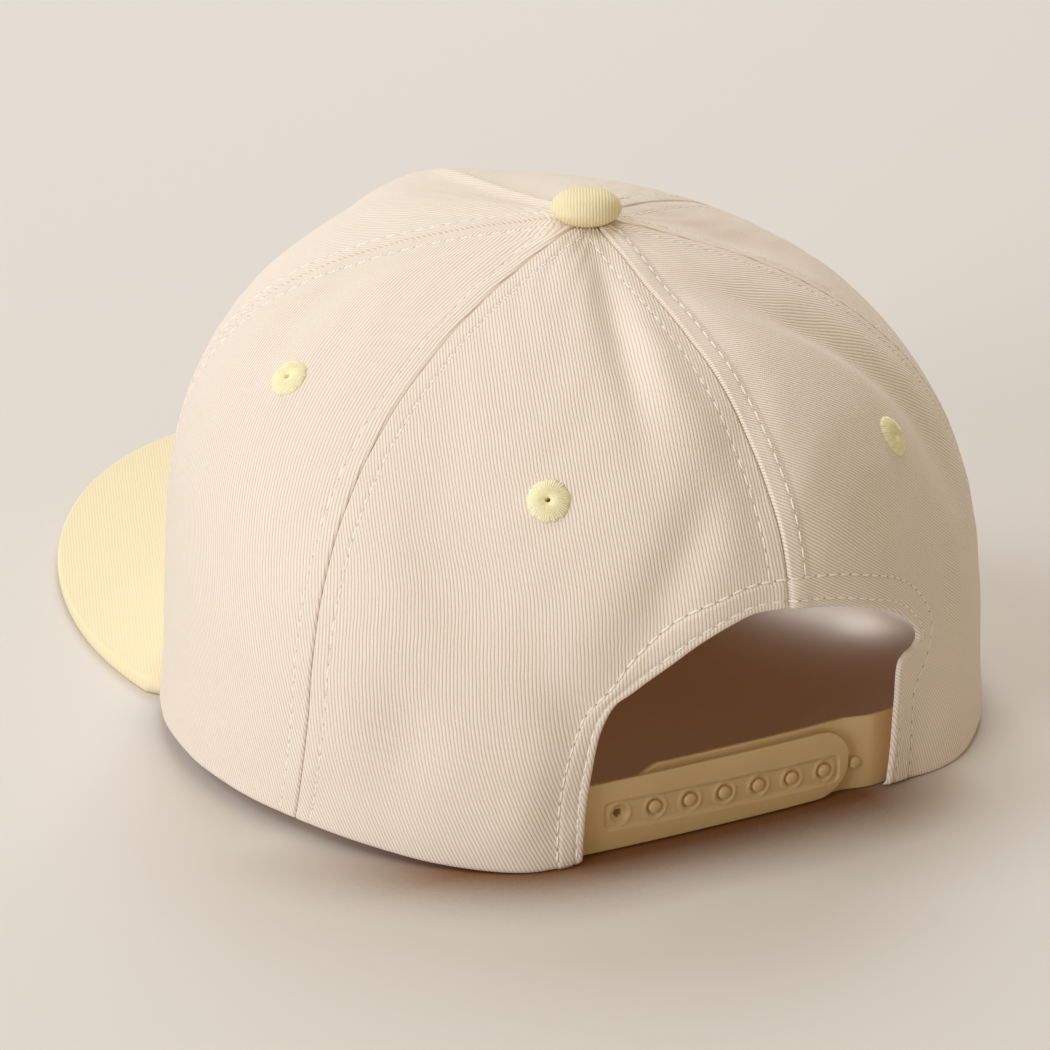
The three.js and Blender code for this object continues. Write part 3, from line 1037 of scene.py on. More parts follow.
# From the foot of the left tab, up it, over the arch and down the right tab.
HEM_STATIONS = (
    HemStation(0.0356, 0.0002, 0.0413, 0.0002),
    HemStation(0.0349, 0.0115, 0.0403, 0.0125),
    HemStation(0.0336, 0.0220, 0.0389, 0.0206),
    HemStation(0.0321, 0.0285, 0.0368, 0.0264),
    HemStation(0.0306, 0.0319, 0.0347, 0.0312),
    HemStation(0.0282, 0.0338, 0.0316, 0.0356),
    HemStation(0.0240, 0.0373, 0.0276, 0.0414),
    HemStation(0.0178, 0.0424, 0.0208, 0.0480),
    HemStation(0.0115, 0.0460, 0.0133, 0.0514),
    HemStation(0.0045, 0.0477, 0.0050, 0.0533),
    HemStation(-0.0085, 0.0461, -0.0090, 0.0524),
    HemStation(-0.0202, 0.0426, -0.0218, 0.0488),
    HemStation(-0.0280, 0.0390, -0.0310, 0.0444),
    HemStation(-0.0336, 0.0349, -0.0382, 0.0386),
    HemStation(-0.0370, 0.0308, -0.0426, 0.0314),
    HemStation(-0.0356, 0.0290, -0.0416, 0.0256),
    HemStation(-0.0324, 0.0286, -0.0396, 0.0226),
    HemStation(-0.0306, 0.0266, -0.0376, 0.0194),
    HemStation(-0.0311, 0.0185, -0.0374, 0.0145),
    HemStation(-0.0315, 0.0090, -0.0376, 0.0080),
    HemStation(-0.0316, 0.0002, -0.0377, 0.0002),
)


@dataclass
class Crown:
    """The crown's five panels, the hem round the opening at the back, and the topstitching.

    crowding: how far the mesh crowds towards the seams. roll, rim_turn: the radius of a turned edge,
    and how much of it the rim turns in. puff, lap: how far the turnings lift the cloth beside a seam,
    and beside the lapped one. seam_fall, row_fall: how far across they flatten out, at the seam and
    past the stitches. pull: how far the stitches draw the cloth down. row_start, row_end: the rises
    between which the seams are stitched. waves: the ripples' numbers to the metre, round and up.
    hem_row: how far from the edge the first row lies. hem_rows: where the rows lie, from edge to rail.
    cut_share: how far under the hem the cloth ends. turning_height: over which the ribs turn.
    """

    surface: CrownSurface
    cloth: float = 0.0015
    button_hole: float = 0.0034
    crowding: float = 0.72
    roll: float = 0.0009
    rim_turn: float = 0.8
    groove_depth: float = 0.00030
    groove_width: float = 0.00024
    puff: float = 0.00009
    lap: float = 0.00040
    seam_fall: float = 0.0006
    row_fall: float = 0.0012
    pull: float = 0.00017
    pull_width: float = 0.0004
    stitch_from_seam: float = 0.0036
    row_start: float = 0.006
    row_start_at_opening: float = 0.285
    row_end: float = 0.97
    ridge_height: float = 0.0013
    ridge_width: float = 0.0016
    ridge_sharpness: float = 1.4
    ridge_rise: tuple[float, float] = (0.60, 0.74)
    ripple_height: float = 0.00011
    slow_waves: tuple[float, float] = (210.0, 90.0)
    quick_waves: tuple[float, float] = (130.0, 260.0)
    hem_lift: float = 0.00035
    hem_end: float = 0.0004
    hem_wall: float = 0.0009
    hem_row: float = 0.0017
    hem_row_depth: float = 0.00022
    hem_rows: tuple[float, float] = (0.27, 0.93)
    first_row_sink: float = 0.0002
    last_row_lift: float = 0.00005
    cut_share: float = 0.5
    eyelet_cut: float = 0.0016
    turning_height: float = 0.055

    def top_rise(self, angle: Array) -> Array:
        """The rise at which a panel ends, under the button.

        Args:
            angle: Angles round the hat, in degrees.

        Returns:
            The rise at each angle.
        """
        foot = self.surface.smooth(angle, np.zeros(np.shape(angle))) - self.surface.origin
        run = np.hypot(foot[..., 0], foot[..., 1] - self.surface.BUTTON_Y)
        # Near the top, a column's curve runs out 3 times its shoulder for each step down.
        return 1.0 - self.button_hole / (3.0 * run * self.surface.column("shoulder", angle))

    def seam_relief(self, angle: Array, rise: Array) -> Array:
        """How far the cloth stands out along the seams, over their pressed turnings.

        Args:
            angle: Angles round the hat, in degrees.
            rise: Shares of the way up the crown.

        Returns:
            Heights over the plain cloth, in metres.
        """
        turns = np.stack([wrapped(angle - seam_angle(seam, rise)) for seam in SEAMS])
        nearest = np.argmin(np.abs(turns), axis=0)
        turn = np.take_along_axis(turns, nearest[None], axis=0)[0]
        away = np.abs(turn) * self.surface.per_degree(angle, rise)
        row = self.stitch_from_seam
        lapped = (nearest == 0) & (turn < 0.0)
        strip = smooth_step(0.0, self.seam_fall, away) - smooth_step(row, row + self.row_fall, away)
        groove = self.groove_depth * np.exp(-((away / self.groove_width) ** 2))
        pull = self.pull * bump(row, self.pull_width, away)
        return np.where(lapped, self.lap, self.puff) * strip - groove - pull

    def dart_relief(self, angle: Array, rise: Array) -> Array:
        """The sharp ridge that runs back from the top of the front panel to the button.

        Args:
            angle: Angles round the hat, in degrees.
            rise: Shares of the way up the crown.

        Returns:
            Heights over the plain cloth, in metres.
        """
        away = np.abs((angle % 360.0) - 180.0) * self.surface.per_degree(angle, rise)
        shape = np.exp(-((away / self.ridge_width) ** self.ridge_sharpness))
        return self.ridge_height * shape * smooth_step(*self.ridge_rise, rise)

    def ripple(self, angle: Array, rise: Array) -> Array:
        """The slight unevenness of cloth that has been handled.

        Args:
            angle: Angles round the hat, in degrees.
            rise: Shares of the way up the crown.

        Returns:
            Heights over the plain cloth, in metres.
        """
        round_way = np.radians(angle) * MEAN_RADIUS
        up_way = self.surface.height(angle, rise)
        slow = np.sin(round_way * self.slow_waves[0] + 3.0 * np.sin(up_way * self.slow_waves[1]))
        sway = 2.0 * np.sin(round_way * self.quick_waves[0] + 1.0)
        quick = np.sin(up_way * self.quick_waves[1] + sway)
        return self.ripple_height * slow * quick

    def rim_roll(self, angle: Array, rise: Array) -> Array:
        """How far the cloth turns in as it reaches the rim."""
        left = np.clip(1.0 - self.surface.height(angle, rise) / self.roll, 0.0, 1.0)
        return -self.roll * rolled(left) * self.rim_turn

    def relief(self, angle: Array, rise: Array) -> Array:
        """Everything that stands out from the plain surface, apart from the rim."""
        seams = self.seam_relief(angle, rise)
        return seams + self.dart_relief(angle, rise) + self.ripple(angle, rise)

    def dressed(self, angle: Array, rise: Array, extra: Array | float = 0.0) -> Array:
        """A place on the dressed cloth.

        Args:
            angle: The angles.
            rise: The rises.
            extra: How much further out.

        Returns:
            The points.
        """
        lift = self.relief(angle, rise) + self.rim_roll(angle, rise) + extra
        points = self.surface.point(angle, rise) + self.surface.out(angle, rise) * lift[..., None]
        floor = self.surface.column("hem", angle) + self.surface.origin[2]
        points[..., 2] = np.maximum(points[..., 2], floor)
        return points

    def cloth_place(self, panel: Panel, angle: Array, rise: Array) -> Array:
        """Where a point lies on the panel laid flat, as a UV in metres.

        Args:
            panel: The panel.
            angle: Angles round the hat, in degrees.
            rise: Shares of the way up the crown.

        Returns:
            The UVs.
        """
        across = -self.surface.width(panel.centre, angle, rise)
        height = self.surface.height(angle, rise)
        turn = math.radians(panel.low_turn) * (1.0 - smooth_step(0.0, self.turning_height, height))
        cos, sin = np.cos(turn), np.sin(turn)
        return np.stack([across * cos - height * sin, across * sin + height * cos], -1)

    def panel_piece(self, panel: Panel) -> Piece:
        """One panel as a sheet, crowded towards its seams and its rim.

        Args:
            panel: The panel.

        Returns:
            The sheet.
        """

        def place(u: Array, v: Array) -> tuple[Array, Array]:
            """Positions and UVs of the panel's points.

            Args:
                u: Shares of the way across, from the panel's end to its start.
                v: Shares of the way up.

            Returns:
                The positions and the UVs, in metres.
            """
            share = u - self.crowding * np.sin(2 * math.pi * u) / (2 * math.pi)
            rise = v**1.2 * self.top_rise(panel.end + (panel.start - panel.end) * share)
            start, end = seam_angle(panel.start, rise), seam_angle(panel.end, rise)
            angle = end + (start - end) * share
            return self.dressed(angle, rise), self.cloth_place(panel, angle, rise)

        return grid_piece(f"{panel.name}_cloth", panel.steps, place)

    def rails(self, share: Array) -> tuple[Array, Array]:
        """The opening's edge and its hem's stitching, as places across and up.

        Args:
            share: Shares of the way along the opening's edge.

        Returns:
            The places on the edge and those on the stitching.
        """
        edge = through_points(np.array([(s.edge_x, s.edge_z) for s in HEM_STATIONS]), share)
        rail = through_points(np.array([(s.rail_x, s.rail_z) for s in HEM_STATIONS]), share)
        return edge, rail

    def opening_cut(self, middles: Array) -> Array:
        """Whether places on the cloth lie inside the line under the middle of the hem.

        Args:
            middles: The places, in metres.

        Returns:
            True for each place inside.
        """
        edge, rail = self.rails(np.linspace(0.0, 1.0, 220))
        line = edge + self.cut_share * (rail - edge)
        below = -0.01
        line = np.vstack([[line[0][0], below], line, [line[-1][0], below]])
        inside = np.zeros(len(middles), bool)
        x, z = middles[:, 0], middles[:, 2]
        for (x0, z0), (x1, z1) in zip(line, np.roll(line, -1, axis=0)):
            crosses = (z0 > z) != (z1 > z)
            reach = x0 + (z - z0) * (x1 - x0) / ((z1 - z0) or 1e-12)
            inside ^= crosses & (x < reach)
        return inside & (middles[:, 1] > self.surface.origin[1])

    def hem_piece(self, panel: Panel, side: Side) -> Piece:
        """The turned-in hem of one side of the opening, from the foot of its tab to the back seam.

        Args:
            panel: The panel that it is turned in from.
            side: The side of the opening.

        Returns:
            The hem.
        """
        meeting = self._back_seam_share()

        def place(u: Array, v: Array) -> tuple[Array, Array]:
            """Positions and UVs of the hem's points.

            Args:
                u: Shares of the way along this side's edge.
                v: Shares of the way in from the edge.

            Returns:
                The positions and the UVs, in metres.
            """
            share = meeting * u if side is Side.LEFT else meeting + (1.0 - meeting) * u
            inward = v**1.5
            edge, rail = self.rails(share)
            spot = edge + inward[:, None] * (rail - edge)
            angle, rise = self.surface.find(spot[:, 0], spot[:, 1])
            from_edge = inward * np.linalg.norm(rail - edge, axis=1)
            turned = np.clip(1.0 - from_edge / self.roll, 0.0, 1.0)
            roll = -self.roll * rolled(turned)
            lift = self.hem_lift - (self.hem_lift + self.hem_end) * smooth_step(0.80, 1.0, inward)
            pull = self.hem_row_depth * bump(self.hem_row, self.pull_width, from_edge)
            return self.dressed(angle, rise, roll + lift - pull), self.cloth_place(panel, angle, rise)

        return grid_piece(f"opening_hem_{side.name.lower()}", (150, 20), place)

    def _back_seam_share(self) -> float:
        """How far along the opening the back seam meets its edge.

        Returns:
            A share of the way along the opening's edge.
        """
        share = np.linspace(0.0, 1.0, 400)
        edge, _ = self.rails(share)
        return float(share[np.argmin(np.abs(edge[:, 0]))])

    def stitching(self, name: str, thread: Thread) -> Piece:
        """All the topstitching: beside each seam, and along the hem of the opening.

        Args:
            name: The piece's name.
            thread: The thread that sews it.

        Returns:
            All the stitches, in one piece.
        """
        bm = bmesh.new()
        count = 0
        for seam in SEAMS:
            for way in (-1, 1):
                count += thread.sew(bm, *self._beside_seam(seam, way))
        for inward in self.hem_rows:
            count += thread.sew(bm, *self._along_hem(inward))
        LOG.info("%s: %d stitches", name, count)
        return mesh_piece(name, bm)

    def _beside_seam(self, seam: float, way: int) -> tuple[Array, Array]:
        """A line beside a seam and the cloth's outward direction along it.

        Args:
            seam: The seam's angle, in degrees.
            way: 1 on the side of the growing angles, -1 on the other.

        Returns:
            The line's points and the outward directions.
        """
        rise = np.linspace(self.row_start, self.row_end, 260)
        if seam == SEAMS[0]:
            rise = np.linspace(self.row_start_at_opening, self.row_end, 200)
        middle = seam_angle(seam, rise)
        angle = middle
        for _ in range(3):
            angle = middle + way * self.stitch_from_seam / self.surface.per_degree(angle, rise)
        return self.dressed(angle, rise), self.surface.out(angle, rise)

    def _along_hem(self, inward: float) -> tuple[Array, Array]:
        """A line along the hem, a share of the way in from its edge.

        Args:
            inward: The share of the way in.

        Returns:
            The line's points and the outward directions.
        """
        edge, rail = self.rails(np.linspace(0.004, 0.996, 360))
        spot = edge + inward * (rail - edge)
        angle, rise = self.surface.find(spot[:, 0], spot[:, 1])
        first_row = inward == self.hem_rows[0]
        lift = self.hem_lift - self.first_row_sink if first_row else self.last_row_lift
        extra = np.full(len(angle), lift)
        return self.dressed(angle, rise, extra), self.surface.out(angle, rise)

    def build(
        self, ribs: bpy.types.NodeTree, thread: Material, shaded_inner_face: Material
    ) -> None:
        """Makes and dresses every piece of the crown.

        Args:
            ribs: The group that makes the twill's ribs.
            thread: The finish of the sewing thread.
            shaded_inner_face: The finish of the cloth's inner face, a darker, warmer copy of the twill
                as painted shade, with a painted glow.
        """
        for panel in PANELS:
            twill = TwillFinish(f"cream_twill_{panel.name}", CREAM_CREST, SHADED_CREAM_GROOVE, panel.twill)
            finish = twill.build(ribs)
            piece = self.panel_piece(panel)
            trim_faces(piece, self.eyelet_cuts)
            if panel.name.startswith("back"):
                trim_faces(piece, self.opening_cut)
                side = Side.LEFT if panel.name.endswith("left") else Side.RIGHT
                hem = self.hem_piece(panel, side)
                thicken(hem, self.hem_wall)
                finish_piece(hem, finish, Slot.CROWN, inside=shaded_inner_face)
            thicken(piece, self.cloth)
            finish_piece(piece, finish, Slot.CROWN, panel.name, inside=shaded_inner_face)
        finish_piece(self.stitching("topstitching", Thread()), thread, Slot.CROWN)
        # Small dark marks between the stitches: painted shade in the needle holes.
        holes = Thread(radius=0.00012, length=0.0006, sink=0.00005, start=1.0)
        finish_piece(self.stitching("stitch_hole_painted_shade", holes), PAINTED_NEEDLE_HOLE_SHADE.build(), Slot.CROWN)

    def eyelet_cuts(self, middles: Array) -> Array:
        """Whether places on the cloth lie in the hole of an eyelet.

        Args:
            middles: The places, in metres.

        Returns:
            True for each place in a hole.
        """
        gone = np.zeros(len(middles), bool)
        for eyelet in EYELETS:
            there = self.surface.point(np.array(eyelet.at), np.array(eyelet.rise))
            gone |= np.linalg.norm(middles - there, axis=1) < self.eyelet_cut
        return gone


# Trim


@dataclass(frozen=True)
class Eyelet:
    """An air hole worked round with satin stitches.

    barrel: how deep its hole goes. skirt, skirt_tuck: how far its outer edge goes down and in.
    fullness, steepness: the shape of its ring. uneven: how far the threads fall short or reach past.
    worked_from: the level above which the threads show. thread_relief: how far they stand up.
    """

    name: str
    at: float
    rise: float
    seed: int
    radius: float = 0.0039
    hole: float = 0.00048
    height: float = 0.0012
    barrel: float = 0.0016
    skirt: float = 0.0006
    skirt_tuck: float = 0.0003
    sink: float = 0.0001
    fullness: float = 0.62
    steepness: float = 0.8
    threads: int = 46
    rings: int = 16
    uneven: tuple[float, float] = (-0.030, 0.040)
    worked_from: float = -0.0005
    thread_relief: float = 0.00022

    def build(self, crown: Crown, finish: Material) -> None:
        """Makes and dresses the eyelet.

        Args:
            crown: The crown that it is sewn into.
            finish: The thread's finish.
        """
        inner, outer = self.hole, self.radius
        profile = [Vector((inner, 0.0, -self.barrel)), Vector((inner, 0.0, -self.barrel / 2))]
        for step in range(self.rings + 1):
            share = step / self.rings
            arch = math.sin(math.pi * min(1.0, 0.10 + 0.90 * share) ** self.steepness)
            level = self.height * arch**self.fullness - self.sink
            profile.append(Vector((inner + (outer - inner) * share, 0.0, level)))
        profile.append(Vector((outer - self.skirt_tuck, 0.0, -self.skirt)))
        bm = spun(profile, self.threads * 4)
        self._work_threads(bm)
        bmesh.ops.recalc_face_normals(bm, faces=bm.faces)
        place = np.array(self.at), np.array(self.rise)
        side, up, out = crown.surface.directions(crown.surface.point, *place)
        seat(bm, (Vector(-side), Vector(up), Vector(out)), Vector(crown.surface.point(*place)))
        finish_piece(mesh_piece(f"{self.name}_ring", bm), finish, Slot.THREAD, self.name)

    def _work_threads(self, bm: BMesh) -> None:
        """Turns the plain ring into threads that reach unevenly outwards.

        Args:
            bm: The ring.
        """
        rng = np.random.default_rng(self.seed)
        reach = 1.0 + rng.uniform(*self.uneven, self.threads)
        for vert in bm.verts:
            out = math.hypot(vert.co.x, vert.co.y)
            turn = math.atan2(vert.co.y, vert.co.x) / (2 * math.pi) * self.threads
            share = max(0.0, (out - self.hole) / (self.radius - self.hole))
            thread = reach[int(math.floor(turn + 0.5)) % self.threads]
            stretch = 1.0 + (thread - 1.0) * share**2
            vert.co.x *= stretch
            vert.co.y *= stretch
            crest = abs(math.cos(math.pi * turn)) - 0.6
            if vert.co.z > self.worked_from:
                vert.co.z += self.thread_relief * crest * min(1.0, share * 2.2)


EYELETS = (
    Eyelet("eyelet_side_left", 79.0, 0.654, 11),
    Eyelet("eyelet_side_right", -92.0, 0.600, 12),
    Eyelet("eyelet_back_left", 29.2, 0.518, 13),
    Eyelet("eyelet_back_right", -29.2, 0.518, 14),
)


@dataclass(frozen=True)
class TopButton:
    """The button at the top of the crown, covered in the peak's twill.

    offset: how far it sits off the crown's axis. belly: the height of its widest part. side_power: the
    shape of its sides, less for fuller ones. drop, tuck: how far its underside goes down and in.
    """

    radius: float = 0.00685
    offset: tuple[float, float] = (0.0005, -0.0003)
    bottom: float = 0.1002
    height: float = 0.0063
    belly: float = 0.0026
    side_power: float = 0.74
    drop: float = 1.2
    tuck: float = 0.10

    def build(self, surface: CrownSurface, finish: Material) -> None:
        """Makes and dresses the button.

        Args:
            surface: The crown that it sits on.
            finish: The covering's finish.
        """
        bm = bmesh.new()
        bmesh.ops.create_uvsphere(bm, u_segments=72, v_segments=40, radius=1.0)
        for vert in bm.verts:
            up = vert.co.z
            out = math.hypot(vert.co.x, vert.co.y)
            bulge = out**self.side_power / out if out > 1e-6 else 1.0
            vert.co.x *= self.radius * bulge
            vert.co.y *= self.radius * bulge
            if up > 0:
                vert.co.z = self.belly + (self.height - self.belly) * up
                continue
            vert.co.z = self.belly * (1 + up * self.drop)
            vert.co.x *= 1.0 + self.tuck * up
            vert.co.y *= 1.0 + self.tuck * up
        across, along = self.offset
        place = Vector(surface.origin) + Vector((across, surface.BUTTON_Y + along, self.bottom))
        bmesh.ops.translate(bm, vec=place, verts=bm.verts)
        finish_piece(mesh_piece("button_covering", bm), finish, Slot.PEAK, "top_button")


@dataclass
class Peak:
    """The flat peak: two layers of twill over a board.

    squareness, spread: the shape of its free edge, and how far round it goes, in degrees each way.
    bend, level_half_width: how far it bows up in the middle, and half the width that stays level.
    root_spread, root_tuck: how far round the crown it is sewn, and how deep. edge, edge_length: the
    radius of its rounded edge, and the length of half that edge. crowding, rim_crowding: how the mesh
    crowds towards the ends and the rim. largest_inset: the most of its run that the edge may take.
    """

    surface: CrownSurface
    half_width: float = 0.0783
    length: float = 0.1104
    centre_y: float = -0.0443
    squareness: float = 1.91
    spread: float = 101.0
    thickness: float = 0.003
    bend: float = 0.0025
    level_half_width: float = 0.016
    root_spread: float = 75.0
    root_tuck: float = 0.0019
    edge: float = 0.0011
    edge_length: float = 0.140
    crowding: float = 0.6
    rim_crowding: float = 1.6
    largest_inset: float = 0.45

    def level(self, x: Array) -> Array:
        """Height of the underside across the hat.

        Args:
            x: Places across from the hat's middle, in metres.

        Returns:
            Heights, in metres.
        """
        past = np.maximum(0.0, np.abs(x) - self.level_half_width)
        run = self.half_width - self.level_half_width
        return self.bend * (1.0 - np.minimum(1.0, (past / run) ** 2))

    def free_edge(self, u: Array) -> Array:
        """The peak's free edge, from one temple round the front to the other.

        Args:
            u: Shares from -1 at one temple to 1 at the other.

        Returns:
            Places across and along the hat, in metres.
        """
        turn = np.radians(self.spread * u)
        power = 2.0 / self.squareness
        x = self.half_width * np.sign(u) * np.abs(np.sin(turn)) ** power
        y = self.centre_y - self.length * np.sign(np.cos(turn)) * np.abs(np.cos(turn)) ** power
        return np.stack([x, y], -1)

    def root(self, u: Array) -> Array:
        """Where the peak meets the crown, tucked under its hem.

        Args:
            u: Shares from -1 at one temple to 1 at the other.

        Returns:
            Places across and along the hat, in metres.
        """
        foot = self.surface.smooth(180.0 - self.root_spread * u, np.zeros(len(u))) - self.surface.origin
        flat = foot[:, :2]
        return flat * (1.0 - self.root_tuck / np.linalg.norm(flat, axis=1, keepdims=True))

    def build(self, finish: Material) -> None:
        """Makes and dresses the peak.

        Args:
            finish: The twill's finish.
        """

        def place(u: Array, v: Array) -> tuple[Array, Array]:
            """Positions and UVs round the peak: over the top, round its edge and back underneath.

            Args:
                u: Shares of the way from one temple to the other.
                v: 0 at the root on top, a half at the free edge, 1 at the root underneath.

            Returns:
                The positions and the UVs, in metres.
            """
            even = 2.0 * u - 1.0
            around = (1.0 - self.crowding) * even + self.crowding * np.sin(math.pi / 2 * even)
            round_way = np.clip((v - 0.5) * 2.0, -1.0, 1.0)
            reach = 1.0 - np.abs(round_way)
            root, rim = self.root(around), self.free_edge(around)
            run = np.linalg.norm(rim - root, axis=1)
            inset = np.minimum(self.edge, run * self.largest_inset)
            distance = run * (1.0 - (1.0 - reach) ** self.rim_crowding)
            past = np.clip((distance - (run - inset)) / inset, 0.0, 1.0)
            spot = root + (rim - root) * (distance / run)[:, None]
            half = self.thickness / 2
            lean = np.sqrt(np.clip(1.0 - past**2, 0.0, 1.0))
            end = np.clip(1.0 - (1.0 - np.abs(around)) * self.edge_length / self.edge, 0.0, 1.0)
            lean = lean * np.sqrt(1.0 - end**2)
            side = np.where(round_way < 0, 1.0, -1.0) * (reach > 0.0)
            z = self.level(spot[:, 0]) + half + side * half * lean
            return np.column_stack([spot, z]) + self.surface.origin, spot

        piece = grid_piece("peak_twill", (150, 120), place)
        bm = bmesh.new()
        bm.from_mesh(piece.data)
        bmesh.ops.remove_doubles(bm, verts=bm.verts, dist=1e-6)
        bmesh.ops.recalc_face_normals(bm, faces=bm.faces)
        bm.to_mesh(piece.data)
        bm.free()
        finish_piece(piece, finish, Slot.PEAK, "peak")


@dataclass
class Sweatband:
    """The band of folded twill inside the rim.

    inset, strap_inset: its distance from the cloth, and the one where the strap lies between them.
    strap_clear: the angles from the back over which it goes from one to the other. left_end,
    right_end: the angles at which it ends. right_slope: how far its right end leans, in degrees.
    """

    surface: CrownSurface
    thickness: float = 0.0012
    height: float = 0.027
    lift: float = 0.0012
    inset: float = 0.0007
    strap_inset: float = 0.0039
    strap_clear: tuple[float, float] = (36.0, 50.0)
    left_end: float = 27.0
    right_end: float = 20.0
    right_slope: float = 15.5

    def rise_at(self, angle: Array, level: Array) -> Array:
        """The rise at which the crown stands a height above its hem.

        Args:
            angle: Angles round the hat, in degrees.
            level: The heights above the hem, in metres.

        Returns:
            The rise at each angle.
        """
        low, high = np.zeros(len(angle)), np.full(len(angle), 0.9)
        hem = self.surface.column("hem", angle) + self.surface.origin[2]
        for _ in range(20):
            middle = (low + high) / 2
            under = self.surface.smooth(angle, middle)[:, 2] < hem + level
            low, high = np.where(under, middle, low), np.where(under, high, middle)
        return low

    def build(self, finish: Material) -> None:
        """Makes and dresses the band.

        Args:
            finish: The twill's finish.
        """

        def place(u: Array, v: Array) -> tuple[Array, Array]:
            """Positions and UVs of the band's outer face.

            Args:
                u: Shares of the way round, from the right end to the left.
                v: Shares of the way up.

            Returns:
                The positions and the UVs, in metres.
            """
            start = 360.0 - self.right_end - self.right_slope * v
            angle = start + (self.left_end - start) * u
            rise = self.rise_at(angle, self.lift + v * self.height)
            from_back = np.minimum(angle, 360.0 - angle)
            past_strap = smooth_step(*self.strap_clear, from_back)
            clear = self.strap_inset + (self.inset - self.strap_inset) * past_strap
            depth = CROWN_WALL + clear
            points = self.surface.point(angle, rise) - self.surface.out(angle, rise) * depth[:, None]
            return points, np.stack([-np.radians(angle) * MEAN_RADIUS, v * self.height], -1)

        piece = grid_piece("sweatband_twill", (260, 24), place)
        thicken(piece, self.thickness)
        finish_piece(piece, finish, Slot.SWEATBAND, "sweatband")


# The strap


@dataclass
class StrapRoute:
    """The line that the strap takes inside the tabs and across the opening.

    heels: the angles at which it lies against a tab, from its end on. bow, waist: how far it bows out
    between the tabs, and half the width over which it does. gap: its play inside a tab.
    """

    surface: CrownSurface
    thickness: float = 0.0014
    heels: tuple[float, ...] = (34.0, 30.5, 27.0, 24.0)
    bow: float = 0.0009
    waist: float = 0.014
    gap: float = 0.0003

    def __post_init__(self) -> None:
        """Works out the route's points."""
        left = [self._heel(angle) for angle in self.heels]
        right = [self._heel(-angle) for angle in reversed(self.heels)]
        back = left[-1][1] + self.bow
        middle = [np.array([self.waist, back]), np.array([-self.waist, back])]
        self.line = through_points(np.array([*left, *middle, *right]), np.linspace(0, 1, 2001))
        steps = np.linalg.norm(np.diff(self.line, axis=0), axis=1)
        self.reached = np.concatenate([[0.0], np.cumsum(steps)])

    def _heel(self, angle: float) -> Array:
        """A place just inside a tab, clear of the cloth at each height.

        Args:
            angle: The heel's angle, in degrees.

        Returns:
            Its place across and along the hat.
        """
        rises = np.array([0.01, 0.06, 0.11])
        angles = np.full(3, angle)
        depth = CROWN_WALL + self.gap
        spots = self.surface.point(angles, rises) - self.surface.out(angles, rises) * depth
        spots = spots[:, :2] - self.surface.origin[:2]
        return spots[np.argmin(np.linalg.norm(spots, axis=1))]

    @property
    def length(self) -> float:
        """The route's whole length."""
        return float(self.reached[-1])

    def along_at(self, x: float) -> float:
        """How far along the route it passes a place across the back."""
        return float(np.interp(-x, -self.line[:, 0], self.reached))

    def place(self, along: Array, z: Array, depth: Array) -> Array:
        """Points on the strap, under its outer face by a depth.

        Args:
            along: Distances along the strap, in metres.
            z: Heights, in metres.
            depth: Depths under the face, in metres.

        Returns:
            Places, in metres.
        """
        x = np.interp(along, self.reached, self.line[:, 0])
        y = np.interp(along, self.reached, self.line[:, 1])
        ahead = np.gradient(self.line, axis=0)
        ahead_x = np.interp(along, self.reached, ahead[:, 0])
        ahead_y = np.interp(along, self.reached, ahead[:, 1])
        inward = unit(np.stack([ahead_y, -ahead_x], -1))
        inward = np.where(inward[:, 1:] > 0, -inward, inward)
        flat = np.stack([x, y], -1) + inward * depth[:, None] + self.surface.origin[:2]
        return np.column_stack([flat, z + self.surface.origin[2]])


@dataclass(frozen=True)
class StrapHalf:
    """One half of the strap: its lower edge, its width and its tip, round or cut off at the corners."""

    name: str
    bottom: float
    width: float
    corner: float
    tip_x: float
    rounded: bool

    def half_height(self, from_tip: Array) -> Array:
        """Half its height near its tip.

        Args:
            from_tip: Distances from the tip, in metres.

        Returns:
            Half the height at each, in metres.
        """
        if self.rounded:
            share = np.clip(from_tip / self.corner, 0.0, 1.0)
            return self.width / 2 * np.sqrt(1.0 - (1.0 - share) ** 2)
        return self.width / 2 - np.maximum(0.0, self.corner - from_tip) * 0.5


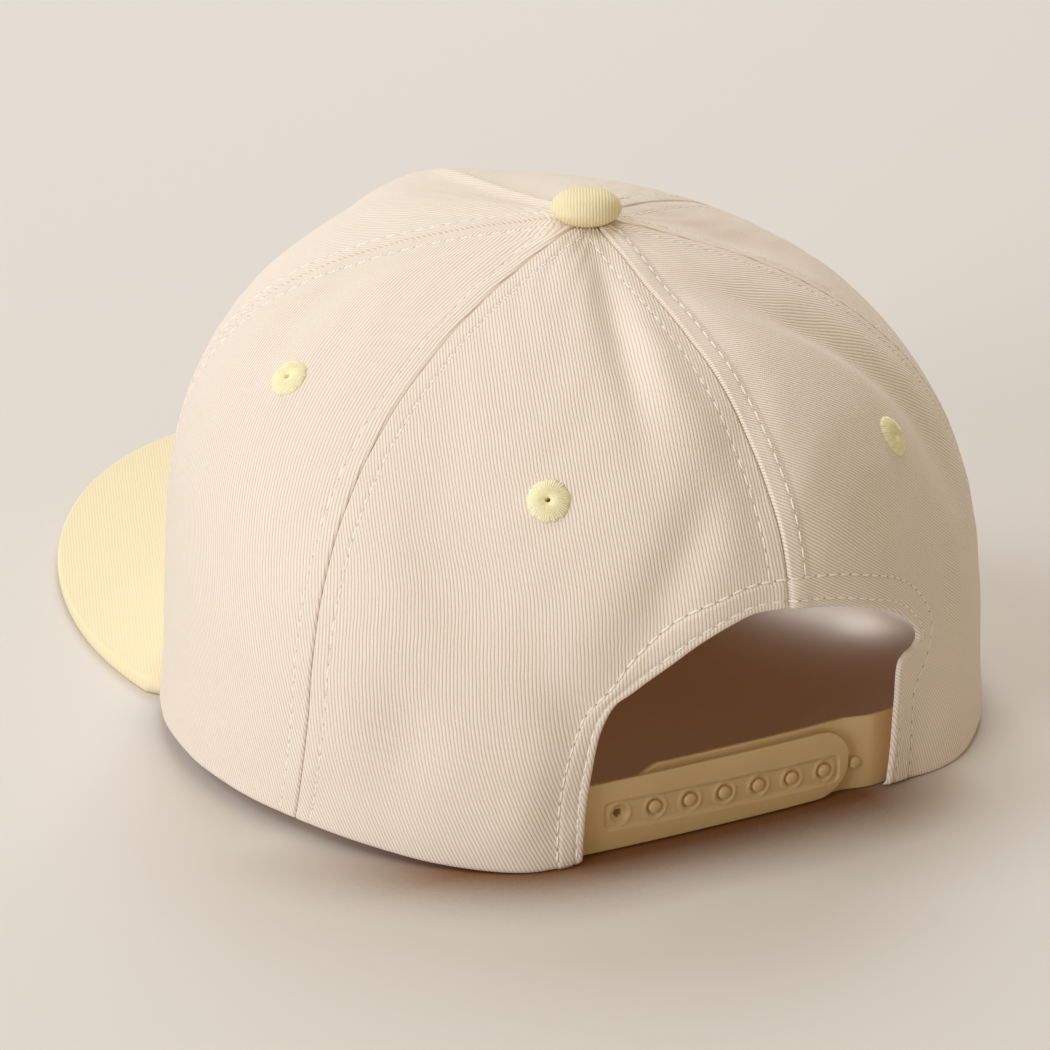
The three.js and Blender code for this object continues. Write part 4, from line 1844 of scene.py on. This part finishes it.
@dataclass
class Strap:
    """The two halves of the snap strap.

    hole_level, hole_drop: the height of the row of holes, and how far it sinks towards its last.
    hole_floor, open_hole: the radius of a hole's floor, and of the first hole, which has no peg.
    step_from, step_to: the places across between which the half with pegs passes behind the other.
    edge: the radius of its edges. track_fall: where the track's side starts and ends, outwards from
    its outline. lip_out, lip_width: how far a lip lies outside its hole, and half its width.
    """

    route: StrapRoute
    holed: StrapHalf = StrapHalf("strap_with_holes", 0.0005, 0.0139, 0.007, -0.0234, True)
    pegged: StrapHalf = StrapHalf("strap_with_pegs", 0.00015, 0.0152, 0.004, 0.0224, False)
    hole_count: int = 7
    first_hole_x: float = 0.0269
    hole_pitch: float = 0.00745
    hole_radius: float = 0.0018
    hole_level: float = 0.0074
    hole_drop: float = 0.0012
    peg_radius: float = 0.00125
    step_from: float = -0.0295
    step_to: float = -0.022
    edge: float = 0.00035
    track_half_height: float = 0.0026
    track_reach: float = 0.0032
    track_depth: float = 0.00048
    lip: float = 0.00026
    hole_depth: float = 0.0005
    hole_floor: float = 0.0015
    open_hole: float = 0.00095
    track_corner: float = 0.0012
    track_fall: tuple[float, float] = (-0.0001, 0.00022)
    lip_out: float = 0.00045
    lip_width: float = 0.00032
    peg_round: float = 0.0004
    peg_sink: float = 0.0001
    tip_crowding: float = 1.25
    edge_crowding: float = 0.93

    def hole_along(self, index: int) -> float:
        """How far along the route a hole lies."""
        return self.route.along_at(self.first_hole_x - index * self.hole_pitch)

    def level(self, along: Array) -> Array:
        """Height of the row of holes, which sinks a little towards the right."""
        first, last = self.hole_along(0), self.hole_along(self.hole_count - 1)
        return self.hole_level - self.hole_drop * (along - first) / (last - first)

    def band(self, half: StrapHalf, start: float, depth: Callable) -> Piece:
        """A half of the strap from its heel to its tip.

        Args:
            half: Its sizes.
            start: Where its heel lies along the route.
            depth: Gives how deep the outer face lies for places along and up.

        Returns:
            The outer face as a sheet.
        """
        end = self.route.along_at(half.tip_x)
        facing = 1.0 if end > start else -1.0
        middle = half.bottom + half.width / 2

        def place(u: Array, v: Array) -> tuple[Array, Array]:
            """Positions and UVs of the outer face.

            Args:
                u: Shares of the way along, up to the tip.
                v: Shares of the way across its height.

            Returns:
                The positions and the UVs, in metres.
            """
            share = 1.0 - (1.0 - u) ** self.tip_crowding
            along = start + (end - start) * share
            reach = half.half_height(np.abs(end - along))
            crowd = self.edge_crowding
            across = np.sin((2.0 * v - 1.0) * math.pi / 2 * crowd) / math.sin(math.pi / 2 * crowd)
            z = middle + across * reach * facing
            rim = np.minimum(reach - np.abs(z - middle), np.abs(end - along) + 1e-6)
            turned = np.clip(1.0 - rim / self.edge, 0.0, 1.0)
            points = self.route.place(along, z, depth(along, z) + self.edge * rolled(turned))
            return points, np.stack([along, z], -1)

        return grid_piece(f"{half.name}_band", (360, 56), place)

    def track_relief(self, along: Array, z: Array) -> Array:
        """The sunken track that the holes lie in, and the lip round each hole.

        Args:
            along: Distances along the strap, in metres.
            z: Heights, in metres.

        Returns:
            Depths under the plain face, in metres, below 0 on a lip.
        """
        first, last = self.hole_along(0), self.hole_along(self.hole_count - 1)
        beyond = np.maximum(np.maximum(first - along, along - last), 0.0)
        up = np.abs(z - self.level(along))
        corner = self.track_corner
        box = np.maximum(up - (self.track_half_height - corner), 0.0)
        reach = np.maximum(beyond - (self.track_reach - corner), 0.0)
        outside = np.hypot(box, reach) - corner
        relief = self.track_depth * (1.0 - smooth_step(*self.track_fall, outside))
        for index in range(self.hole_count):
            out = np.hypot(along - self.hole_along(index), up)
            relief = relief - self.lip * bump(self.hole_radius + self.lip_out, self.lip_width, out)
            sunken = 1.0 - smooth_step(self.hole_floor, self.hole_radius, out)
            relief = relief + self.hole_depth * sunken
        return relief

    def peg(self, bm: BMesh, along: float, face: float, length: float) -> None:
        """Adds one peg with a rounded head.

        Args:
            bm: The mesh that it goes into.
            along: Where it lies along the route.
            face: How deep its head lies under the route's line, negative if it stands out.
            length: From its head to its foot.
        """
        radius, round_off = self.peg_radius, self.peg_round
        profile = [Vector((0, 0, 0.00008)), Vector((radius * 0.6, 0, 0.00005))]
        for step in range(5):
            turn = math.pi / 2 * step / 4
            out = radius - round_off * (1.0 - math.sin(turn))
            profile.append(Vector((out, 0, -round_off * (1.0 - math.cos(turn)))))
        profile.append(Vector((radius, 0, -length)))
        fresh = spun(profile, 32)
        bmesh.ops.recalc_face_normals(fresh, faces=fresh.faces)
        places = np.array([along, along + 0.0005])
        spots = self.route.place(places, self.level(np.full(2, along)), np.zeros(2))
        ahead = Vector(spots[1] - spots[0]).normalized()
        upward = Vector((0, 0, 1))
        out = ahead.cross(upward).normalized()
        if out.y < 0:
            out.negate()
        seat(fresh, (out.cross(upward), upward, out), Vector(spots[0]) - out * face)
        # These directions mirror the peg, so its faces are turned back.
        bmesh.ops.reverse_faces(fresh, faces=fresh.faces)
        join_mesh(bm, fresh)

    def build(self, finish: Material) -> None:
        """Makes and dresses both halves.

        Args:
            finish: The plastic's finish.
        """
        route = self.route
        back = route.thickness + route.gap
        holes = self.band(self.holed, 0.0, self.track_relief)
        first = self.hole_along(0)
        middle = route.place(np.array([first]), np.array([self.hole_level]), np.zeros(1))[0]
        trim_faces(holes, lambda spots: self._near(spots, middle, self.open_hole))
        thicken(holes, route.thickness)
        finish_piece(holes, finish, Slot.STRAP, self.holed.name)

        def depth(along: Array, z: Array) -> Array:
            """How deep the half with pegs lies."""
            x = np.interp(along, route.reached, route.line[:, 0])
            return back * smooth_step(self.step_from, self.step_to, x)

        pegs = self.band(self.pegged, route.length, depth)
        thicken(pegs, route.thickness)
        bm = bmesh.new()
        for index in range(1, self.hole_count + 1):
            self.peg(bm, self.hole_along(index), self.peg_sink, back)
        finish_piece(pegs, finish, Slot.STRAP, self.pegged.name)
        finish_piece(mesh_piece("strap_pegs", bm), finish, Slot.STRAP)

    @staticmethod
    def _near(spots: Array, middle: Array, radius: float) -> Array:
        """Whether places lie within a radius of another, seen from behind."""
        away = spots - middle
        return np.hypot(away[:, 0], away[:, 2]) < radius


# The studio


@dataclass(frozen=True)
class SoftLight:
    """A soft lamp, square or a strip.

    size: its side. aim: the point it faces. depth, turn: a strip's other side, and its turn in degrees.
    """

    name: str
    place: Triple
    power: float
    colour: Triple
    size: float = 1.0
    aim: Triple = (0.0, 0.03, 0.03)
    depth: float | None = None
    turn: float = 0.0

    def build(self) -> None:
        """Hangs the lamp."""
        data = bpy.data.lights.new(self.name, "AREA")
        data.shape = "RECTANGLE"
        data.size = self.size
        data.size_y = self.depth or self.size
        data.energy = self.power
        data.color = self.colour
        lamp = linked(self.name, data)
        lamp.location = self.place
        facing = (Vector(self.aim) - Vector(self.place)).to_track_quat("-Z", "Y").to_matrix()
        lamp.rotation_euler = (Matrix.Rotation(math.radians(self.turn), 3, "Z") @ facing).to_euler()


WINDOW_LIGHT = (0.85, 0.91, 1.0)
HIGH_WINDOW_LIGHT = (0.81, 0.89, 1.0)
BEHIND_LIGHT = (0.80, 0.87, 1.0)
OVERHEAD_LIGHT = (1.0, 0.92, 0.68)
WHITE_LIGHT = (1.0, 1.0, 1.0)
# The small pale patch of floor that shows through the opening, and its end.
PALE_PATCH = (-0.0690, 0.0330, 0.0)
PALE_PATCH_END = (-0.0722, 0.0448, 0.0)


@dataclass(frozen=True)
class Studio:
    """A pale floor, soft light, and the camera where the photograph was taken.

    camera_aim: the point looked at, from the crown's axis. camera_turn, camera_lift: where the camera
    stands, in degrees round from the peak's side and above the ground. camera_roll: its tilt.
    painted_shadow_reach: how near the hat the floor must be for the painted shadow.
    painted_shadow_along,
    painted_shadow_across: where the painted shadow starts and is full, along Y and X.
    painted_shadow_open:
    how open to the sky the floor is there, from none of the painted shadow to all of it.
    painted_shadow_colour: the warm dark colour painted there.
    """

    surface: CrownSurface
    camera_aim: Triple = (-0.0011, -0.0075, 0.0286)
    camera_turn: float = 150.98
    camera_lift: float = 21.47
    camera_roll: float = 0.58
    camera_distance: float = 0.6709
    lens: float = 111.7
    sensor: float = 36.0
    floor_half: float = 6.0
    floor_colour: Triple = (0.714, 0.665, 0.607)
    # The warm dark colour of the painted shadow under the back of the hat.
    painted_shadow_colour: Triple = (0.20, 0.080, 0.020)
    painted_shadow_reach: float = 0.024
    painted_shadow_along: tuple[float, float] = (0.078, 0.106)
    painted_shadow_across: tuple[float, float] = (-0.050, -0.026)
    painted_shadow_open: tuple[float, float] = (0.97, 0.66)
    sky_colour: Triple = (1.0, 0.85, 0.66)
    sky_power: float = 0.42
    lights: tuple[SoftLight, ...] = (
        SoftLight("window_low", (1.83, 0.66, 0.55), 16.6, WINDOW_LIGHT, 0.8),
        SoftLight("window_high", (1.34, -0.43, 1.44), 13.2, HIGH_WINDOW_LIGHT),
        SoftLight("behind", (-0.69, -1.21, 1.44), 16.8, BEHIND_LIGHT),
        SoftLight("overhead", (0.03, 0.05, 2.03), 4.4, OVERHEAD_LIGHT),
        SoftLight(
            "under_the_rim", (*PALE_PATCH[:2], 0.011), 0.00095, WHITE_LIGHT,
            size=0.022, aim=PALE_PATCH, depth=0.006, turn=-39.0,
        ),
        SoftLight(
            "under_the_rim_end", (*PALE_PATCH_END[:2], 0.007), 0.00032, WHITE_LIGHT,
            size=0.008, aim=PALE_PATCH_END,
        ),
    )

    def build(self) -> None:
        """Sets up the floor, the lights and the camera."""
        self._floor()
        for light in self.lights:
            light.build()
        self._sky()
        self._camera()
        bpy.context.scene.view_settings.view_transform = "Standard"

    def _floor(self) -> None:
        """The pale floor, with a warm painted shadow in the nook under the back of the hat."""
        bm = bmesh.new()
        bmesh.ops.create_grid(bm, x_segments=8, y_segments=8, size=self.floor_half)
        floor = mesh_piece("floor", bm)
        material, sheet = new_material("pale_floor_painted_shadow")
        source = sheet.add("ShaderNodeTexCoord").outputs["Object"]
        place = sheet.add("ShaderNodeSeparateXYZ", {0: source})
        behind = sheet.share(place.outputs[1], *self.painted_shadow_along)
        across = sheet.share(place.outputs[0], *self.painted_shadow_across)
        nook = sheet.add("ShaderNodeAmbientOcclusion", {"Distance": self.painted_shadow_reach}, samples=8)
        dark = sheet.share(nook.outputs["AO"], *self.painted_shadow_open)
        # The floor is painted dark and warm where it is sheltered behind the hat: a painted shadow.
        share = sheet.math("MULTIPLY", sheet.math("MULTIPLY", behind, across), dark)
        colour = sheet.mix(share, (*self.floor_colour, 1.0), (*self.painted_shadow_colour, 1.0))
        sheet.surface({"Base Color": colour, "Roughness": 0.75})
        floor.data.materials.append(material)

    def _sky(self) -> None:
        """Even light from all round."""
        world = bpy.data.worlds.new("studio")
        world.use_nodes = True
        sheet = NodeSheet(world.node_tree)
        values = {"Color": (*self.sky_colour, 1.0), "Strength": self.sky_power}
        sky = sheet.add("ShaderNodeBackground", values)
        sheet.add("ShaderNodeOutputWorld", {"Surface": sky.outputs[0]})
        bpy.context.scene.world = world

    def _camera(self) -> None:
        """The camera."""
        data = bpy.data.cameras.new("camera")
        data.sensor_width = self.sensor
        data.lens = self.lens
        data.clip_start, data.clip_end = 0.01, 20.0
        turn, lift = math.radians(self.camera_turn), math.radians(self.camera_lift)
        level = math.cos(lift)
        back = Vector((math.sin(turn) * level, -math.cos(turn) * level, math.sin(lift)))
        aim = Vector(self.camera_aim) + Vector(self.surface.origin)
        camera = linked("camera", data)
        facing = back.to_track_quat("Z", "Y").to_matrix().to_4x4()
        roll = Matrix.Rotation(math.radians(self.camera_roll), 4, "Z")
        camera.matrix_world = Matrix.Translation(aim + back * self.camera_distance) @ facing @ roll
        bpy.context.scene.camera = camera


def main() -> None:
    """Builds the hat and the studio."""
    logging.basicConfig(level=logging.INFO, format="%(name)s: %(message)s")
    surface = CrownSurface(COLUMNS, FOLDS)
    Studio(surface).build()
    ribs = TwillRibs().build()
    cream_thread, yellow_thread = CREAM_THREAD.build(), YELLOW_THREAD.build()
    crown = Crown(surface)
    crown.build(ribs, cream_thread, SHADED_INNER_TWILL.build(ribs))
    for eyelet in EYELETS:
        eyelet.build(crown, yellow_thread)
    TopButton().build(surface, BUTTON_TWILL.build(ribs))
    Peak(surface).build(YELLOW_TWILL.build(ribs))
    Sweatband(surface).build(SHADED_BAND_TWILL.build(ribs))
    Strap(StrapRoute(surface)).build(BEIGE_PLASTIC.build())


if __name__ == "__main__":
    main()
